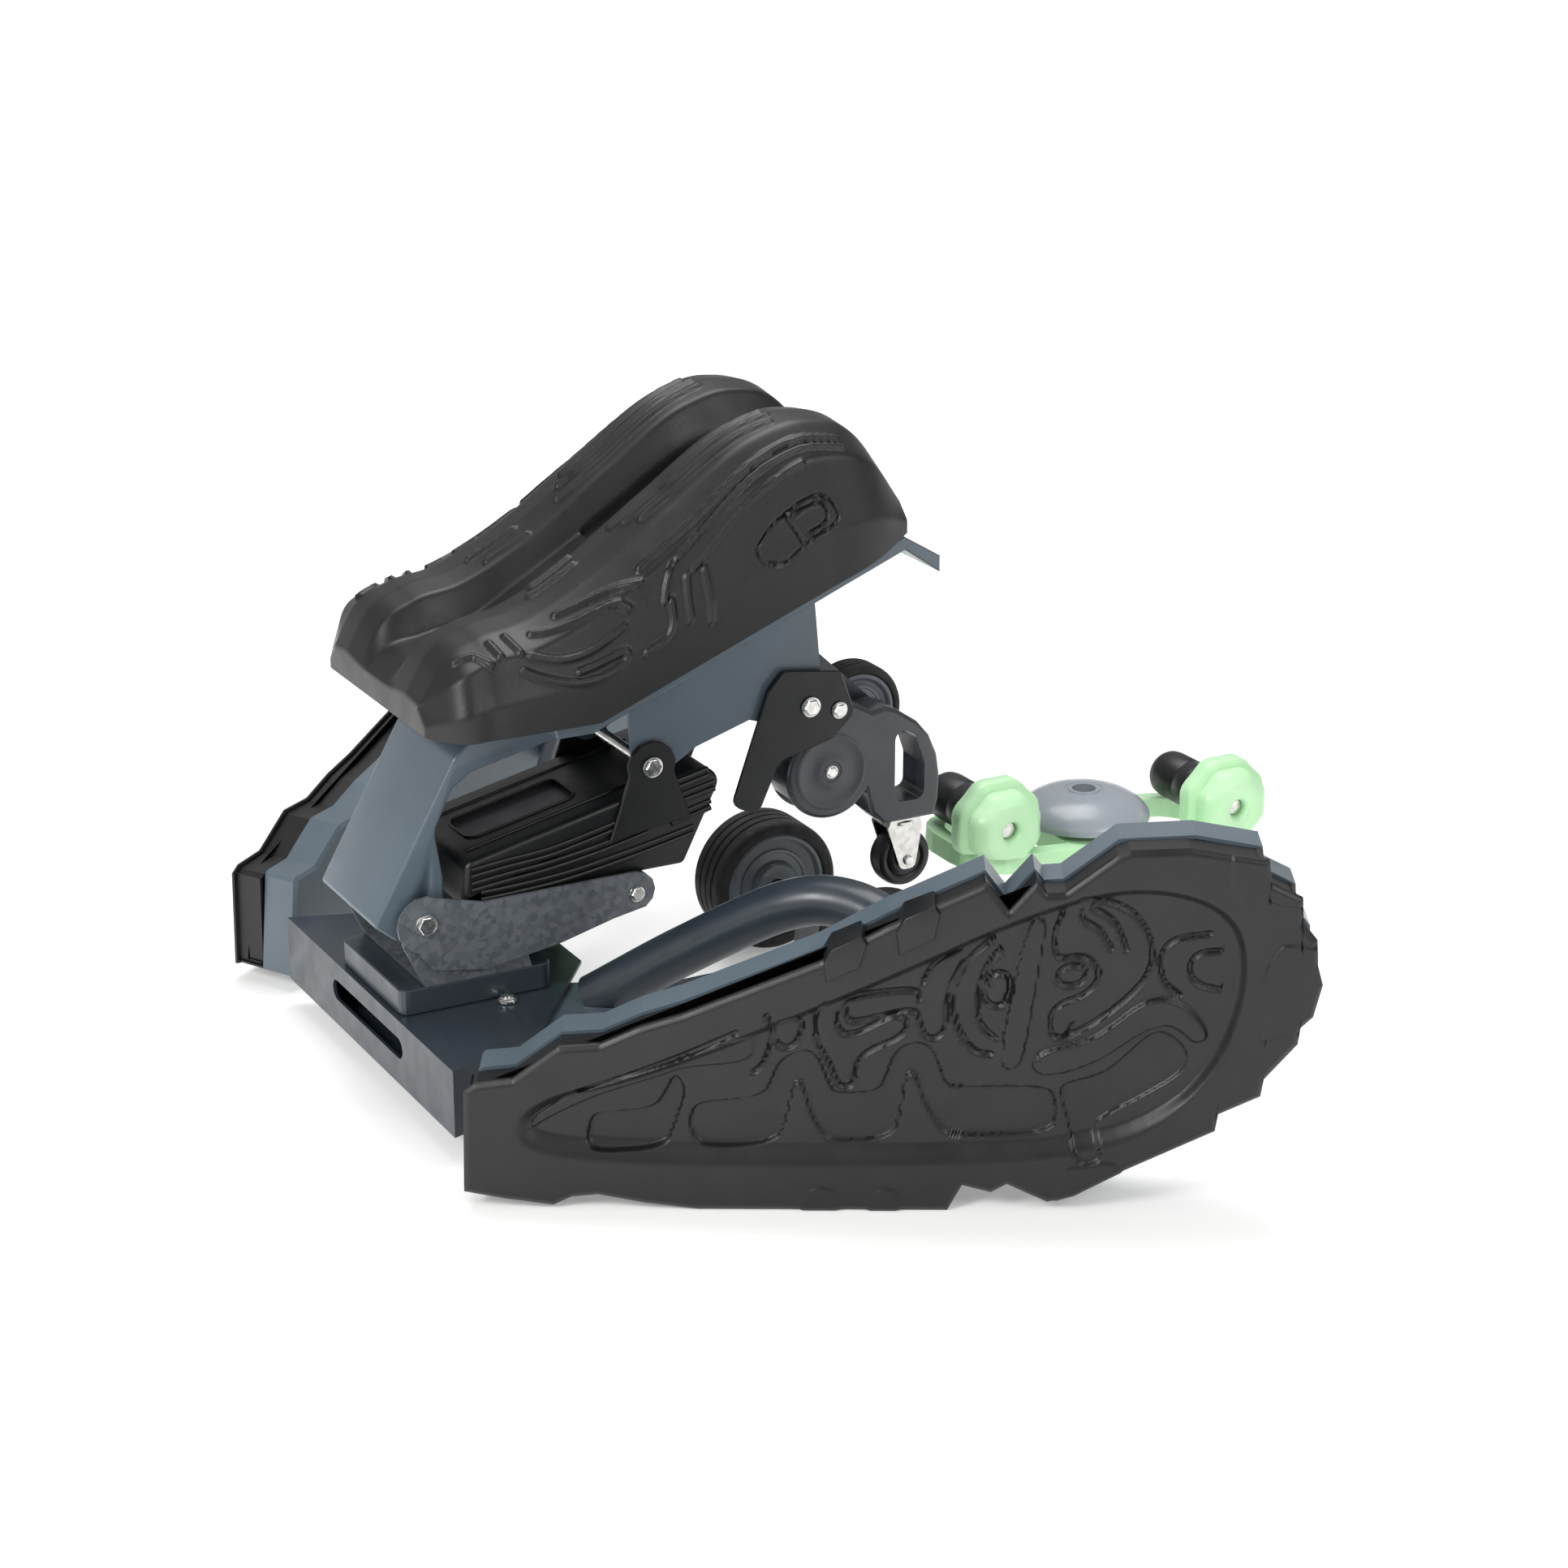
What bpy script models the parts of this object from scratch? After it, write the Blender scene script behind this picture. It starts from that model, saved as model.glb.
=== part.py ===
"""Folding rolling base: front box, two track-shaped side legs, lift arm with a tilting top hull, rear bogie.

Metres, +Z up, +X to the rear, the floor at z = 0.  The left side is -Y.
The assembly is symmetric about y = 0 except for the caster and the rollers, which sit to one side.
"""
from math import atan2, cos, pi, radians, sin

import bmesh
import bpy
from mathutils import Matrix, Vector

# ---- driving dimensions ----
GAP = 0.0003                      # running gap between touching pieces
ORIGIN_SHIFT = -0.0414            # centres the model's box on x = 0
SHEET = 0.003                     # sheet-steel thickness
MOULD = 0.004                     # wall of the moulded covers
SIDES = 20                        # facets of a round piece

BOX_FRONT = -0.378
BOX_BOTTOM = 0.022
BOX_TOP = 0.079
BOX_HALF = 0.180                  # half width of the front face
BOX_PLAN = [(BOX_FRONT, -BOX_HALF), (-0.291, -0.149), (-0.196, -0.027),
            (-0.196, 0.027), (-0.291, 0.149), (BOX_FRONT, BOX_HALF)]
SLOT_HALF = 0.076
SLOT_Z = 0.054
SLOT_R = 0.009
RISER_TOP = 0.101

LEG_PIVOT = (-0.285, 0.075)
BOLT_R = 0.005
LEG_ANGLE = radians(28.81)        # each leg splays from straight back by this much
LEG_FRONT = (-0.345, 0.290)       # where the cover's outer face starts
COVER_DEPTH = 0.035
SHELL_DEPTH = 0.035
TUBE_R = 0.0205
TUBE_WALL = 0.0025

ARM_PIVOT = (-0.351, 0.156)
ARM_HALF = 0.069                  # half width over the arm's side plates
ARM_END = (-0.164, 0.148)
PIVOT_R = 0.006                   # arm pivot pin
DECK_BOLT_R = 0.005               # deck, carrier and idler bolts
SMALL_PIN_R = 0.004               # arm end, swing pin and hood axle
FORK_AXLE_R = 0.003
STEM_R = 0.005
BEYOND = 0.09                     # half length of a cutting rod that passes right through
MAST_HALF = 0.0585
SHROUD_TOP = [(-0.312, 0.199), (-0.104, 0.245)]
DECK_PIVOT = (-0.147, 0.255)
CARRIER_BOLT = (-0.001, 0.284)
IDLER = (0.077, 0.250)
IDLER_R = 0.042
SWING_PIN = (0.026, 0.277)
HOOD_WHEEL = (0.022, 0.221)
HOOD_WHEEL_R = 0.034
HOOD_NEAR = -0.063
HOOD_FAR = -0.0265
SMALL_CASTER = (0.098, -0.043)
HOOD_ARM_BOTTOM = 0.164
SMALL_DROP = 0.039                # small wheel's axle below the arm
SMALL_TRAIL = 0.003               # and behind the stem
SMALL_WHEEL_R = 0.026

WHEEL_X = 0.050
WHEEL_Y = 0.110
WHEEL_R = 0.060
WHEEL_WIDTH = 0.050
AXLE_R = 0.006

SPINE_HALF = 0.020
SPINE_BOTTOM = 0.006
BOGIE_X = 0.318
POST_R = 0.010
POST_BORE = 0.0109                # clears the post's corners at every swivel angle
BOGIE_Z = 0.092
BOGIE_PITCH = radians(4.9)
ROLLER_REACH = 0.121
ROLLER_R = 0.022
ROLLER_LIFT = 0.033              # roller axis above the frame's middle plane

# the track-shaped side of a leg: (along the leg, height) corners with their radius
COVER_OUTLINE = [(-0.068, 0.014, 0), (-0.058, 0.105, 0.006), (-0.029, 0.108, 0), (-0.011, 0.122, 0),
                 (0.006, 0.135, 0), (0.037, 0.137, 0), (0.067, 0.151, 0), (0.098, 0.161, 0),
                 (0.201, 0.204, 0), (0.252, 0.233, 0), (0.326, 0.268, 0), (0.342, 0.246, 0),
                 (0.362, 0.270, 0), (0.370, 0.260, 0), (0.383, 0.261, 0), (0.424, 0.293, 0.008),
                 (0.481, 0.296, 0.008), (0.532, 0.287, 0), (0.5345, 0.269, 0), (0.558, 0.257, 0),
                 (0.5595, 0.237, 0), (0.5705, 0.223, 0), (0.5715, 0.204, 0), (0.576, 0.188, 0),
                 (0.570, 0.162, 0), (0.561, 0.153, 0), (0.560, 0.139, 0), (0.536, 0.110, 0),
                 (0.534, 0.096, 0), (0.503, 0.081, 0), (0.501, 0.067, 0), (0.430, 0.032, 0),
                 (0.396, 0.013, 0), (0.376, 0.007, 0), (0.345, 0.022, 0), (0.333, 0.015, 0),
                 (0.311, 0.021, 0), (0.300, 0.0, 0), (0.110, 0.0, 0), (0.070, 0.005, 0),
                 (0.034, 0.012, 0), (0.014, 0.010, 0), (0.0, 0.003, 0), (-0.036, 0.008, 0)]
DISH_OUTLINE = [(-0.030, 0.052, 0.010), (-0.020, 0.090, 0.010), (0.080, 0.116, 0.020), (0.240, 0.186, 0.020),
                (0.360, 0.246, 0.030), (0.440, 0.268, 0.030), (0.510, 0.248, 0.040), (0.524, 0.190, 0.040),
                (0.500, 0.110, 0.040), (0.430, 0.052, 0.030), (0.300, 0.040, 0.020), (0.060, 0.040, 0.020)]
DISH_DEPTH = 0.008
TUBE_ROUTE = [(-0.2147, -0.0899, 0.0726), (-0.157, -0.145, 0.125), (-0.100, -0.207, 0.174),
              (-0.065, -0.248, 0.183), (-0.042, -0.300, 0.168), (-0.034, -0.350, 0.138),
              (-0.0325, -0.3950, 0.112)]

# the hull's underside: level in front, rising behind DECK_BEND
DECK_FLAT = 0.325
DECK_BEND = -0.222
DECK_SLOPE = 0.3946
PAN_HALF = 0.118
# hull cross-sections: (x, half width, height of the lobes, height of the channel)
HULL_STATIONS = [(-0.358, 0.100, 0.350, 0.346), (-0.343, 0.124, 0.376, 0.360), (-0.310, 0.131, 0.397, 0.368),
                 (-0.270, 0.132, 0.405, 0.376), (-0.215, 0.132, 0.431, 0.406), (-0.140, 0.132, 0.482, 0.450),
                 (-0.063, 0.132, 0.530, 0.492), (-0.020, 0.132, 0.538, 0.500), (0.030, 0.130, 0.517, 0.482),
                 (0.062, 0.116, 0.468, 0.452)]

# colours: name -> (base colour, roughness, metallic)
FINISHES = {
    "black_plastic": ((0.012, 0.012, 0.013), 0.45, 0.0),
    "blue_grey": ((0.13, 0.16, 0.19), 0.4, 0.0),
    "slate": ((0.035, 0.045, 0.06), 0.3, 0.0),
    "galvanised": ((0.42, 0.44, 0.45), 0.42, 0.9),
    "chrome": ((0.75, 0.75, 0.76), 0.15, 1.0),
    "green_plastic": ((0.40, 0.78, 0.42), 0.4, 0.0),
    "rubber": ((0.015, 0.015, 0.016), 0.7, 0.0),
    "grey_plastic": ((0.16, 0.17, 0.19), 0.4, 0.0),
}

BODIES = {}
MATERIALS = {}


# ---- set-up ----
def clear_scene():
    for old in list(bpy.data.objects):
        bpy.data.objects.remove(old, do_unlink=True)


def make_materials():
    for name, (colour, roughness, metallic) in FINISHES.items():
        material = bpy.data.materials.new(name)
        material.use_nodes = True
        shader = material.node_tree.nodes["Principled BSDF"]
        shader.inputs["Base Color"].default_value = (*colour, 1.0)
        shader.inputs["Roughness"].default_value = roughness
        shader.inputs["Metallic"].default_value = metallic
        MATERIALS[name] = material


def add_body(name, anchor, parent=None):
    """An empty on a joint's axis, which the moving body's pieces are parented to."""
    empty = bpy.data.objects.new("at_" + name, None)
    bpy.context.scene.collection.objects.link(empty)
    offset = Vector(anchor)
    if parent:
        empty.parent = BODIES[parent][0]
        offset = offset - BODIES[parent][1]
    empty.location = offset
    BODIES[name] = (empty, Vector(anchor))


def add_piece(name, mesh, finish, body):
    """Turns a closed bmesh in the model's frame into a named object on its body."""
    bmesh.ops.recalc_face_normals(mesh, faces=mesh.faces)
    empty, anchor = BODIES[body]
    bmesh.ops.transform(mesh, matrix=Matrix.Translation(-anchor), verts=mesh.verts)
    data = bpy.data.meshes.new(name)
    mesh.to_mesh(data)
    mesh.free()
    data.shade_smooth()
    data.set_sharp_from_angle(angle=radians(35))
    data.materials.append(MATERIALS[finish])
    piece = bpy.data.objects.new(name, data)
    bpy.context.scene.collection.objects.link(piece)
    piece.parent = empty
    return piece


def cut(piece, mesh, body):
    """Cuts a closed bmesh out of a piece."""
    cutter = add_piece("cutter", mesh, "slate", body)
    cutter.hide_render = True
    cutter.display_type = "WIRE"
    boolean = piece.modifiers.new("cut", "BOOLEAN")
    boolean.operation = "DIFFERENCE"
    boolean.object = cutter


# ---- outlines ----
def arc(centre, radius, start, end, steps):
    """Points on an arc, angles in degrees."""
    points = []
    for i in range(steps + 1):
        angle = radians(start + (end - start) * i / steps)
        points.append((centre[0] + radius * cos(angle), centre[1] + radius * sin(angle)))
    return points


def rounded(corners, steps=3):
    """A closed outline from (a, b, radius) corners, each corner rounded by its radius."""
    points = []
    count = len(corners)
    for i, (a, b, radius) in enumerate(corners):
        corner = Vector((a, b))
        if radius == 0:
            points.append((a, b))
            continue
        before = (Vector(corners[i - 1][:2]) - corner).normalized()
        after = (Vector(corners[(i + 1) % count][:2]) - corner).normalized()
        half = before.angle(after) / 2
        centre = corner + (before + after).normalized() * radius / sin(half)
        start = corner + before * radius * cos(half) / sin(half) - centre
        end = corner + after * radius * cos(half) / sin(half) - centre
        turn = start.angle_signed(end)
        for k in range(steps + 1):
            angle = -turn * k / steps
            spot = centre + Matrix.Rotation(angle, 2) @ start
            points.append((spot.x, spot.y))
    return points


def offset(points, distance):
    """The outline moved inwards by distance, corner by corner."""
    area = sum(p[0] * q[1] - q[0] * p[1] for p, q in zip(points, points[1:] + points[:1]))
    turn = 1 if area > 0 else -1
    moved = []
    for i, point in enumerate(points):
        here = Vector(point)
        before = (here - Vector(points[i - 1])).normalized()
        after = (Vector(points[(i + 1) % len(points)]) - here).normalized()
        inward_a = Vector((-before.y, before.x)) * turn
        inward_b = Vector((-after.y, after.x)) * turn
        middle = inward_a + inward_b
        spot = here + middle * distance / (1 + inward_a.dot(inward_b))
        moved.append((spot.x, spot.y))
    return moved


# ---- solids ----
def flat_xy(a, b, c):
    return Vector((a, b, c))


def flat_xz(a, b, c):
    return Vector((a, c, b))


def leg_place(side):
    """Maps (along the leg, height, inboard depth) of one leg to the model's frame."""
    def place(along, height, inboard):
        x = LEG_FRONT[0] + along * cos(LEG_ANGLE) + inboard * sin(LEG_ANGLE)
        y = LEG_FRONT[1] + along * sin(LEG_ANGLE) - inboard * cos(LEG_ANGLE)
        return Vector((x, side * y, height))
    return place


def stack(mesh, rings, place, closed=False):
    """Joins rings of equal length, given as (outline, level), into one closed skin."""
    loops = [[mesh.verts.new(place(a, b, level)) for a, b in ring] for ring, level in rings]
    pairs = list(zip(loops, loops[1:]))
    if closed:
        pairs.append((loops[-1], loops[0]))
    for low, high in pairs:
        for i in range(len(low)):
            j = (i + 1) % len(low)
            mesh.faces.new((low[i], low[j], high[j], high[i]))
    if not closed:
        mesh.faces.new(loops[0])
        mesh.faces.new(loops[-1])
    return mesh


def prism(outline, low, high, place, bevel=0.0):
    """An extruded outline, with its two rims chamfered by bevel."""
    if bevel:
        inner = offset(outline, bevel)
        rings = [(inner, low), (outline, low + bevel), (outline, high - bevel), (inner, high)]
    else:
        rings = [(outline, low), (outline, high)]
    return stack(bmesh.new(), rings, place)


def tray(outline, back, front, wall, floor, place, bevel=0.002):
    """A tray: closed at level back, open at level front."""
    step = floor if front > back else -floor
    lip = bevel if front > back else -bevel
    inner = offset(outline, wall)
    rings = [(offset(outline, bevel), back), (outline, back + lip), (outline, front),
             (inner, front), (inner, back + step)]
    return stack(bmesh.new(), rings, place)


def turned(profile, centre, axis="y", sides=SIDES, closed=False):
    """A solid turned from (radius, level) points about an axis through centre."""
    mesh = bmesh.new()
    rings = []
    for radius, level in profile:
        ring = []
        for i in range(sides):
            angle = 2 * pi * i / sides
            a = radius * cos(angle)
            b = radius * sin(angle)
            local = {"x": (level, a, b), "y": (a, level, b), "z": (a, b, level)}[axis]
            ring.append(mesh.verts.new(Vector(centre) + Vector(local)))
        rings.append(ring)
    pairs = list(zip(rings, rings[1:]))
    if closed:
        pairs.append((rings[-1], rings[0]))
    for low, high in pairs:
        for i in range(sides):
            j = (i + 1) % sides
            mesh.faces.new((low[i], low[j], high[j], high[i]))
    if not closed:
        mesh.faces.new(rings[0])
        mesh.faces.new(rings[-1])
    return mesh


def rod(radius, low, high, centre, axis="y", sides=12):
    return turned([(radius, low), (radius, high)], centre, axis, sides)


def bolt(shank, head, low, high, head_height, centre, axis="y", nut=True):
    """A through bolt: a head below low, a shank, and a nut above high."""
    profile = [(head, low - head_height), (head, low), (shank, low), (shank, high)]
    if nut:
        profile += [(head, high), (head, high + head_height)]
    return turned(profile, centre, axis, 12)


def pipe(points, radius, wall, sides=10):
    """An open-ended tube along a list of points."""
    mesh = bmesh.new()
    skins = []
    for size in (radius, radius - wall):
        rings = []
        for i, point in enumerate(points):
            ahead = points[min(i + 1, len(points) - 1)]
            behind = points[max(i - 1, 0)]
            direction = (ahead - behind).normalized()
            side = direction.cross(Vector((0, 0, 1))).normalized()
            up = side.cross(direction)
            ring = []
            for k in range(sides):
                angle = 2 * pi * k / sides
                ring.append(mesh.verts.new(point + side * size * cos(angle) + up * size * sin(angle)))
            rings.append(ring)
        skins.append(rings)
    outer, inner = skins
    for rings in skins:
        for low, high in zip(rings, rings[1:]):
            for i in range(sides):
                j = (i + 1) % sides
                mesh.faces.new((low[i], low[j], high[j], high[i]))
    for end in (0, -1):
        for i in range(sides):
            j = (i + 1) % sides
            mesh.faces.new((outer[end][i], outer[end][j], inner[end][j], inner[end][i]))
    return mesh


def solid_rod(ends, radius, sides=16):
    """A solid cylinder between two points."""
    mesh = bmesh.new()
    along = (ends[1] - ends[0]).normalized()
    across = along.cross(Vector((0, 0, 1))).normalized()
    up = across.cross(along)
    rings = []
    for end in ends:
        ring = []
        for i in range(sides):
            angle = 2 * pi * i / sides
            ring.append(mesh.verts.new(end + across * radius * cos(angle) + up * radius * sin(angle)))
        rings.append(ring)
    for i in range(sides):
        j = (i + 1) % sides
        mesh.faces.new((rings[0][i], rings[0][j], rings[1][j], rings[1][i]))
    mesh.faces.new(rings[0])
    mesh.faces.new(rings[1])
    return mesh


def smooth_path(points, steps=4):
    """A Catmull-Rom curve through the points."""
    spots = [Vector(p) for p in points]
    padded = [2 * spots[0] - spots[1]] + spots + [2 * spots[-1] - spots[-2]]
    path = []
    for a, b, c, d in zip(padded, padded[1:], padded[2:], padded[3:]):
        for k in range(steps):
            t = k / steps
            path.append(0.5 * (2 * b + (c - a) * t + (2 * a - 5 * b + 4 * c - d) * t ** 2
                               + (3 * b - a - 3 * c + d) * t ** 3))
    path.append(spots[-1])
    return path


# ---- base ----
def make_front_box():
    box = add_piece("front_box", prism(BOX_PLAN, BOX_BOTTOM, BOX_TOP, flat_xy), "slate", "base")
    # the hollow is open below and through the two angled rear edges
    inner = offset(BOX_PLAN, SHEET)
    hollow = [inner[0], (inner[1][0], inner[1][1]), (-0.284, -0.170), (-0.150, -0.030),
              (-0.150, 0.030), (-0.284, 0.170), (inner[4][0], inner[4][1]), inner[5]]
    cut(box, prism(hollow, BOX_BOTTOM - 0.01, BOX_TOP - SHEET, flat_xy), "base")
    slot = (arc((SLOT_HALF - SLOT_R, SLOT_Z), SLOT_R, -90, 90, 6)
            + arc((SLOT_R - SLOT_HALF, SLOT_Z), SLOT_R, 90, 270, 6))
    front = prism(slot, BOX_FRONT - 0.01, BOX_FRONT + 0.01, lambda a, b, c: Vector((c, a, b)))
    cut(box, front, "base")
    for side in (-1, 1):
        hole = rod(BOLT_R + GAP, 0.07, 0.09, (LEG_PIVOT[0], side * LEG_PIVOT[1], 0), "z")
        cut(box, hole, "base")


def make_box_floor():
    plan = offset(BOX_PLAN, SHEET + GAP)
    floor = add_piece("box_floor", prism(plan, BOX_BOTTOM, BOX_BOTTOM + SHEET, flat_xy), "slate", "base")
    for side in (-1, 1):
        hole = rod(BOLT_R + GAP, 0.01, 0.03, (LEG_PIVOT[0], side * LEG_PIVOT[1], 0), "z")
        cut(floor, hole, "base")


def make_pivot_bolts():
    for side, word in ((-1, "left"), (1, "right")):
        centre = (LEG_PIVOT[0], side * LEG_PIVOT[1], 0)
        pin = bolt(BOLT_R, 0.0085, BOX_BOTTOM - GAP, BOX_TOP + GAP, 0.005, centre, "z")
        add_piece(word + "_pivot_bolt", pin, "chrome", "base")


def make_mast_mount():
    riser = rounded([(-0.373, -0.066, 0.008), (-0.240, -0.066, 0.008), (-0.240, 0.066, 0.008),
                     (-0.373, 0.066, 0.008)])
    piece = add_piece("mast_riser", prism(riser, BOX_TOP + GAP, RISER_TOP, flat_xy, 0.001), "slate", "base")
    cut(piece, prism(offset(riser, SHEET), BOX_TOP - 0.01, RISER_TOP - SHEET, flat_xy), "base")
    side_plate = rounded([(-0.352, RISER_TOP + GAP, 0), (-0.258, RISER_TOP + GAP, 0), (-0.262, 0.116, 0.004),
                          (-0.318, 0.150, 0.01), (-0.330, 0.170, 0.012), (-0.366, 0.174, 0.014),
                          (-0.370, 0.140, 0.012)])
    outer = ARM_HALF - SHEET - GAP
    bracket = add_piece("mast_bracket", prism(side_plate, -outer, outer, flat_xz), "galvanised", "base")
    channel = [(-0.40, RISER_TOP + 0.0045), (-0.24, RISER_TOP + 0.0045), (-0.24, 0.20), (-0.40, 0.20)]
    cut(bracket, prism(channel, SHEET - outer, outer - SHEET, flat_xz), "base")
    cut(bracket, rod(PIVOT_R + GAP, -BEYOND, BEYOND, (ARM_PIVOT[0], 0, ARM_PIVOT[1])), "base")


def make_spine():
    top = BOX_BOTTOM - GAP
    beam = rounded([(-0.250, -SPINE_HALF, 0.008), (0.350, -SPINE_HALF, 0.008),
                    (0.350, SPINE_HALF, 0.008), (-0.250, SPINE_HALF, 0.008)])
    spine = add_piece("spine_beam", prism(beam, SPINE_BOTTOM, top, flat_xy, 0.002), "slate", "base")
    inner = SPINE_HALF - SHEET
    section = [(-inner, SPINE_BOTTOM + SHEET), (inner, SPINE_BOTTOM + SHEET), (inner, top - SHEET),
               (-inner, top - SHEET)]
    cut(spine, prism(section, -0.30, 0.40, lambda a, b, c: Vector((c, a, b))), "base")
    low = top + GAP
    block = rounded([(WHEEL_X - 0.020, low, 0), (WHEEL_X + 0.020, low, 0),
                     (WHEEL_X + 0.014, WHEEL_R + 0.014, 0.012), (WHEEL_X - 0.014, WHEEL_R + 0.014, 0.012)])
    piece = add_piece("axle_block", prism(block, -SPINE_HALF, SPINE_HALF, flat_xz), "slate", "base")
    cut(piece, rod(AXLE_R + GAP, -0.05, 0.05, (WHEEL_X, 0, WHEEL_R)), "base")
    end = WHEEL_Y + WHEEL_WIDTH / 2 + 0.003
    axle = bolt(AXLE_R, 0.010, -end, end, 0.006, (WHEEL_X, 0, WHEEL_R))
    add_piece("main_axle", axle, "chrome", "base")
    profile = [(0.022, low), (0.022, low + 0.006), (POST_R, low + 0.006), (POST_R, BOGIE_Z + 0.034)]
    add_piece("bogie_post", turned(profile, (BOGIE_X, 0, 0), "z", 12), "chrome", "base")


# ---- legs ----
def make_cover(word, side):
    place = leg_place(side)
    outline = rounded(COVER_OUTLINE, 2)
    body = word + "_leg"
    cover = add_piece(word + "_track_cover", tray(outline, 0, COVER_DEPTH, MOULD, 0.012, place, 0.004),
                      "black_plastic", body)
    dish = rounded(DISH_OUTLINE, 3)
    steps = [(dish, -0.01), (dish, 0.0), (offset(dish, 0.006), DISH_DEPTH)]
    cut(cover, stack(bmesh.new(), steps, place), body)
    inset = offset(outline, 0.0015)
    shell = tray(inset, COVER_DEPTH + SHELL_DEPTH, COVER_DEPTH + GAP, MOULD - 0.001, MOULD, place, 0.003)
    add_piece(word + "_inner_shell", shell, "blue_grey", body)


def make_leg_tube(word, side):
    body = word + "_leg"
    path = smooth_path([(x, -side * y, z) for x, y, z in TUBE_ROUTE], 3)
    tube = add_piece(word + "_side_tube", pipe(path, TUBE_R, TUBE_WALL), "slate", body)
    beyond = [(0.1, 0.0), (0.6, 0.0), (0.6, 0.3), (0.1, 0.3)]
    depth = COVER_DEPTH + SHELL_DEPTH + GAP
    cut(tube, stack(bmesh.new(), [(beyond, 0.0), (beyond, depth)], leg_place(side)), body)


def make_leg_socket(word, side):
    """A cast tongue turning on the pivot bolt inside the box, carrying the tube outside it."""
    body = word + "_leg"
    low = BOX_BOTTOM + SHEET + 0.0015
    high = BOX_TOP - SHEET - 0.0015
    hub = arc((-0.285, 0.075), 0.030, 120, 290, 6)
    outside = [(-0.222, 0.052), (-0.198, 0.062), (-0.194, 0.092), (-0.216, 0.130), (-0.268, 0.134)]
    plan = [(x, side * y) for x, y in hub + outside]
    socket = add_piece(word + "_leg_socket", prism(plan, low, high, flat_xy, 0.002), "blue_grey", body)
    hole = rod(BOLT_R + GAP, 0.0, 0.1, (LEG_PIVOT[0], side * LEG_PIVOT[1], 0), "z")
    cut(socket, hole, body)
    first, second = [Vector((x, -side * y, z)) for x, y, z in TUBE_ROUTE[:2]]
    along = (second - first).normalized()
    mouth = [first - GAP * along, first + 0.08 * along]
    cut(socket, solid_rod(mouth, TUBE_R + 3 * GAP), body)


# ---- lift arm ----
def make_lift_arm():
    ear = arc(ARM_PIVOT, 0.024, 60, 250, 8)
    plate = ear + [(-0.345, 0.116), (-0.300, 0.108), (-0.232, 0.118), (-0.185, 0.130)]
    plate += arc((-0.164, 0.150), 0.017, -60, 90, 5) + [(-0.300, 0.1665)]
    arm = add_piece("lift_arm", prism(plate, -ARM_HALF, ARM_HALF, flat_xz), "galvanised", "arm")
    inner = ARM_HALF - SHEET
    channel = [(-0.40, 0.09), (-0.258, 0.09), (-0.225, 0.105), (-0.225, 0.1625), (-0.10, 0.1625),
               (-0.10, 0.19), (-0.40, 0.19)]
    cut(arm, prism(channel, -inner, inner, flat_xz), "arm")
    under = [(-0.2215, 0.09), (-0.10, 0.09), (-0.10, 0.1625 - SHEET), (-0.2215, 0.1625 - SHEET)]
    cut(arm, prism(under, -inner, inner, flat_xz), "arm")
    cut(arm, rod(PIVOT_R + GAP, -BEYOND, BEYOND, (ARM_PIVOT[0], 0, ARM_PIVOT[1])), "arm")
    cut(arm, rod(SMALL_PIN_R + GAP, -BEYOND, BEYOND, (ARM_END[0], 0, ARM_END[1])), "arm")
    pin = bolt(PIVOT_R, 0.0095, -ARM_HALF - GAP, ARM_HALF + GAP, 0.004, (ARM_PIVOT[0], 0, ARM_PIVOT[1]))
    add_piece("arm_pivot_pin", pin, "chrome", "base")
    end = bolt(SMALL_PIN_R, 0.007, -ARM_HALF - GAP, ARM_HALF + GAP, 0.003, (ARM_END[0], 0, ARM_END[1]))
    add_piece("arm_end_bolt", end, "chrome", "arm")
    bumper = rounded([(-0.205, 0.100, 0.006), (-0.196, 0.082, 0.006), (-0.172, 0.086, 0.006),
                      (-0.168, 0.1585, 0), (-0.205, 0.1585, 0)])
    add_piece("arm_bumper", prism(bumper, 0.010, 0.058, flat_xz, 0.003), "green_plastic", "arm")


def make_mast_cover():
    """A gooseneck channel: front and top wall with two sides, open behind and below."""
    outline = [(-0.391, 0.158), (-0.3175, 0.288), (-0.300, 0.304), (-0.220, 0.304), (-0.220, 0.292),
               (-0.262, 0.283), (-0.304, 0.274), (-0.320, 0.262), (-0.336, 0.229), (-0.330, 0.190),
               (-0.331, 0.146), (-0.372, 0.142)]
    cover = add_piece("mast_cover", prism(outline, -MAST_HALF, MAST_HALF, flat_xz, 0.002), "blue_grey", "arm")
    hollow = [(-0.413, 0.113), (-0.3145, 0.2865), (-0.2985, 0.301), (-0.200, 0.301), (-0.200, 0.113)]
    inner = MAST_HALF - SHEET
    cut(cover, prism(hollow, -inner, inner, flat_xz), "arm")
    cut(cover, rod(PIVOT_R + GAP, -BEYOND, BEYOND, (ARM_PIVOT[0], 0, ARM_PIVOT[1])), "arm")


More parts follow.
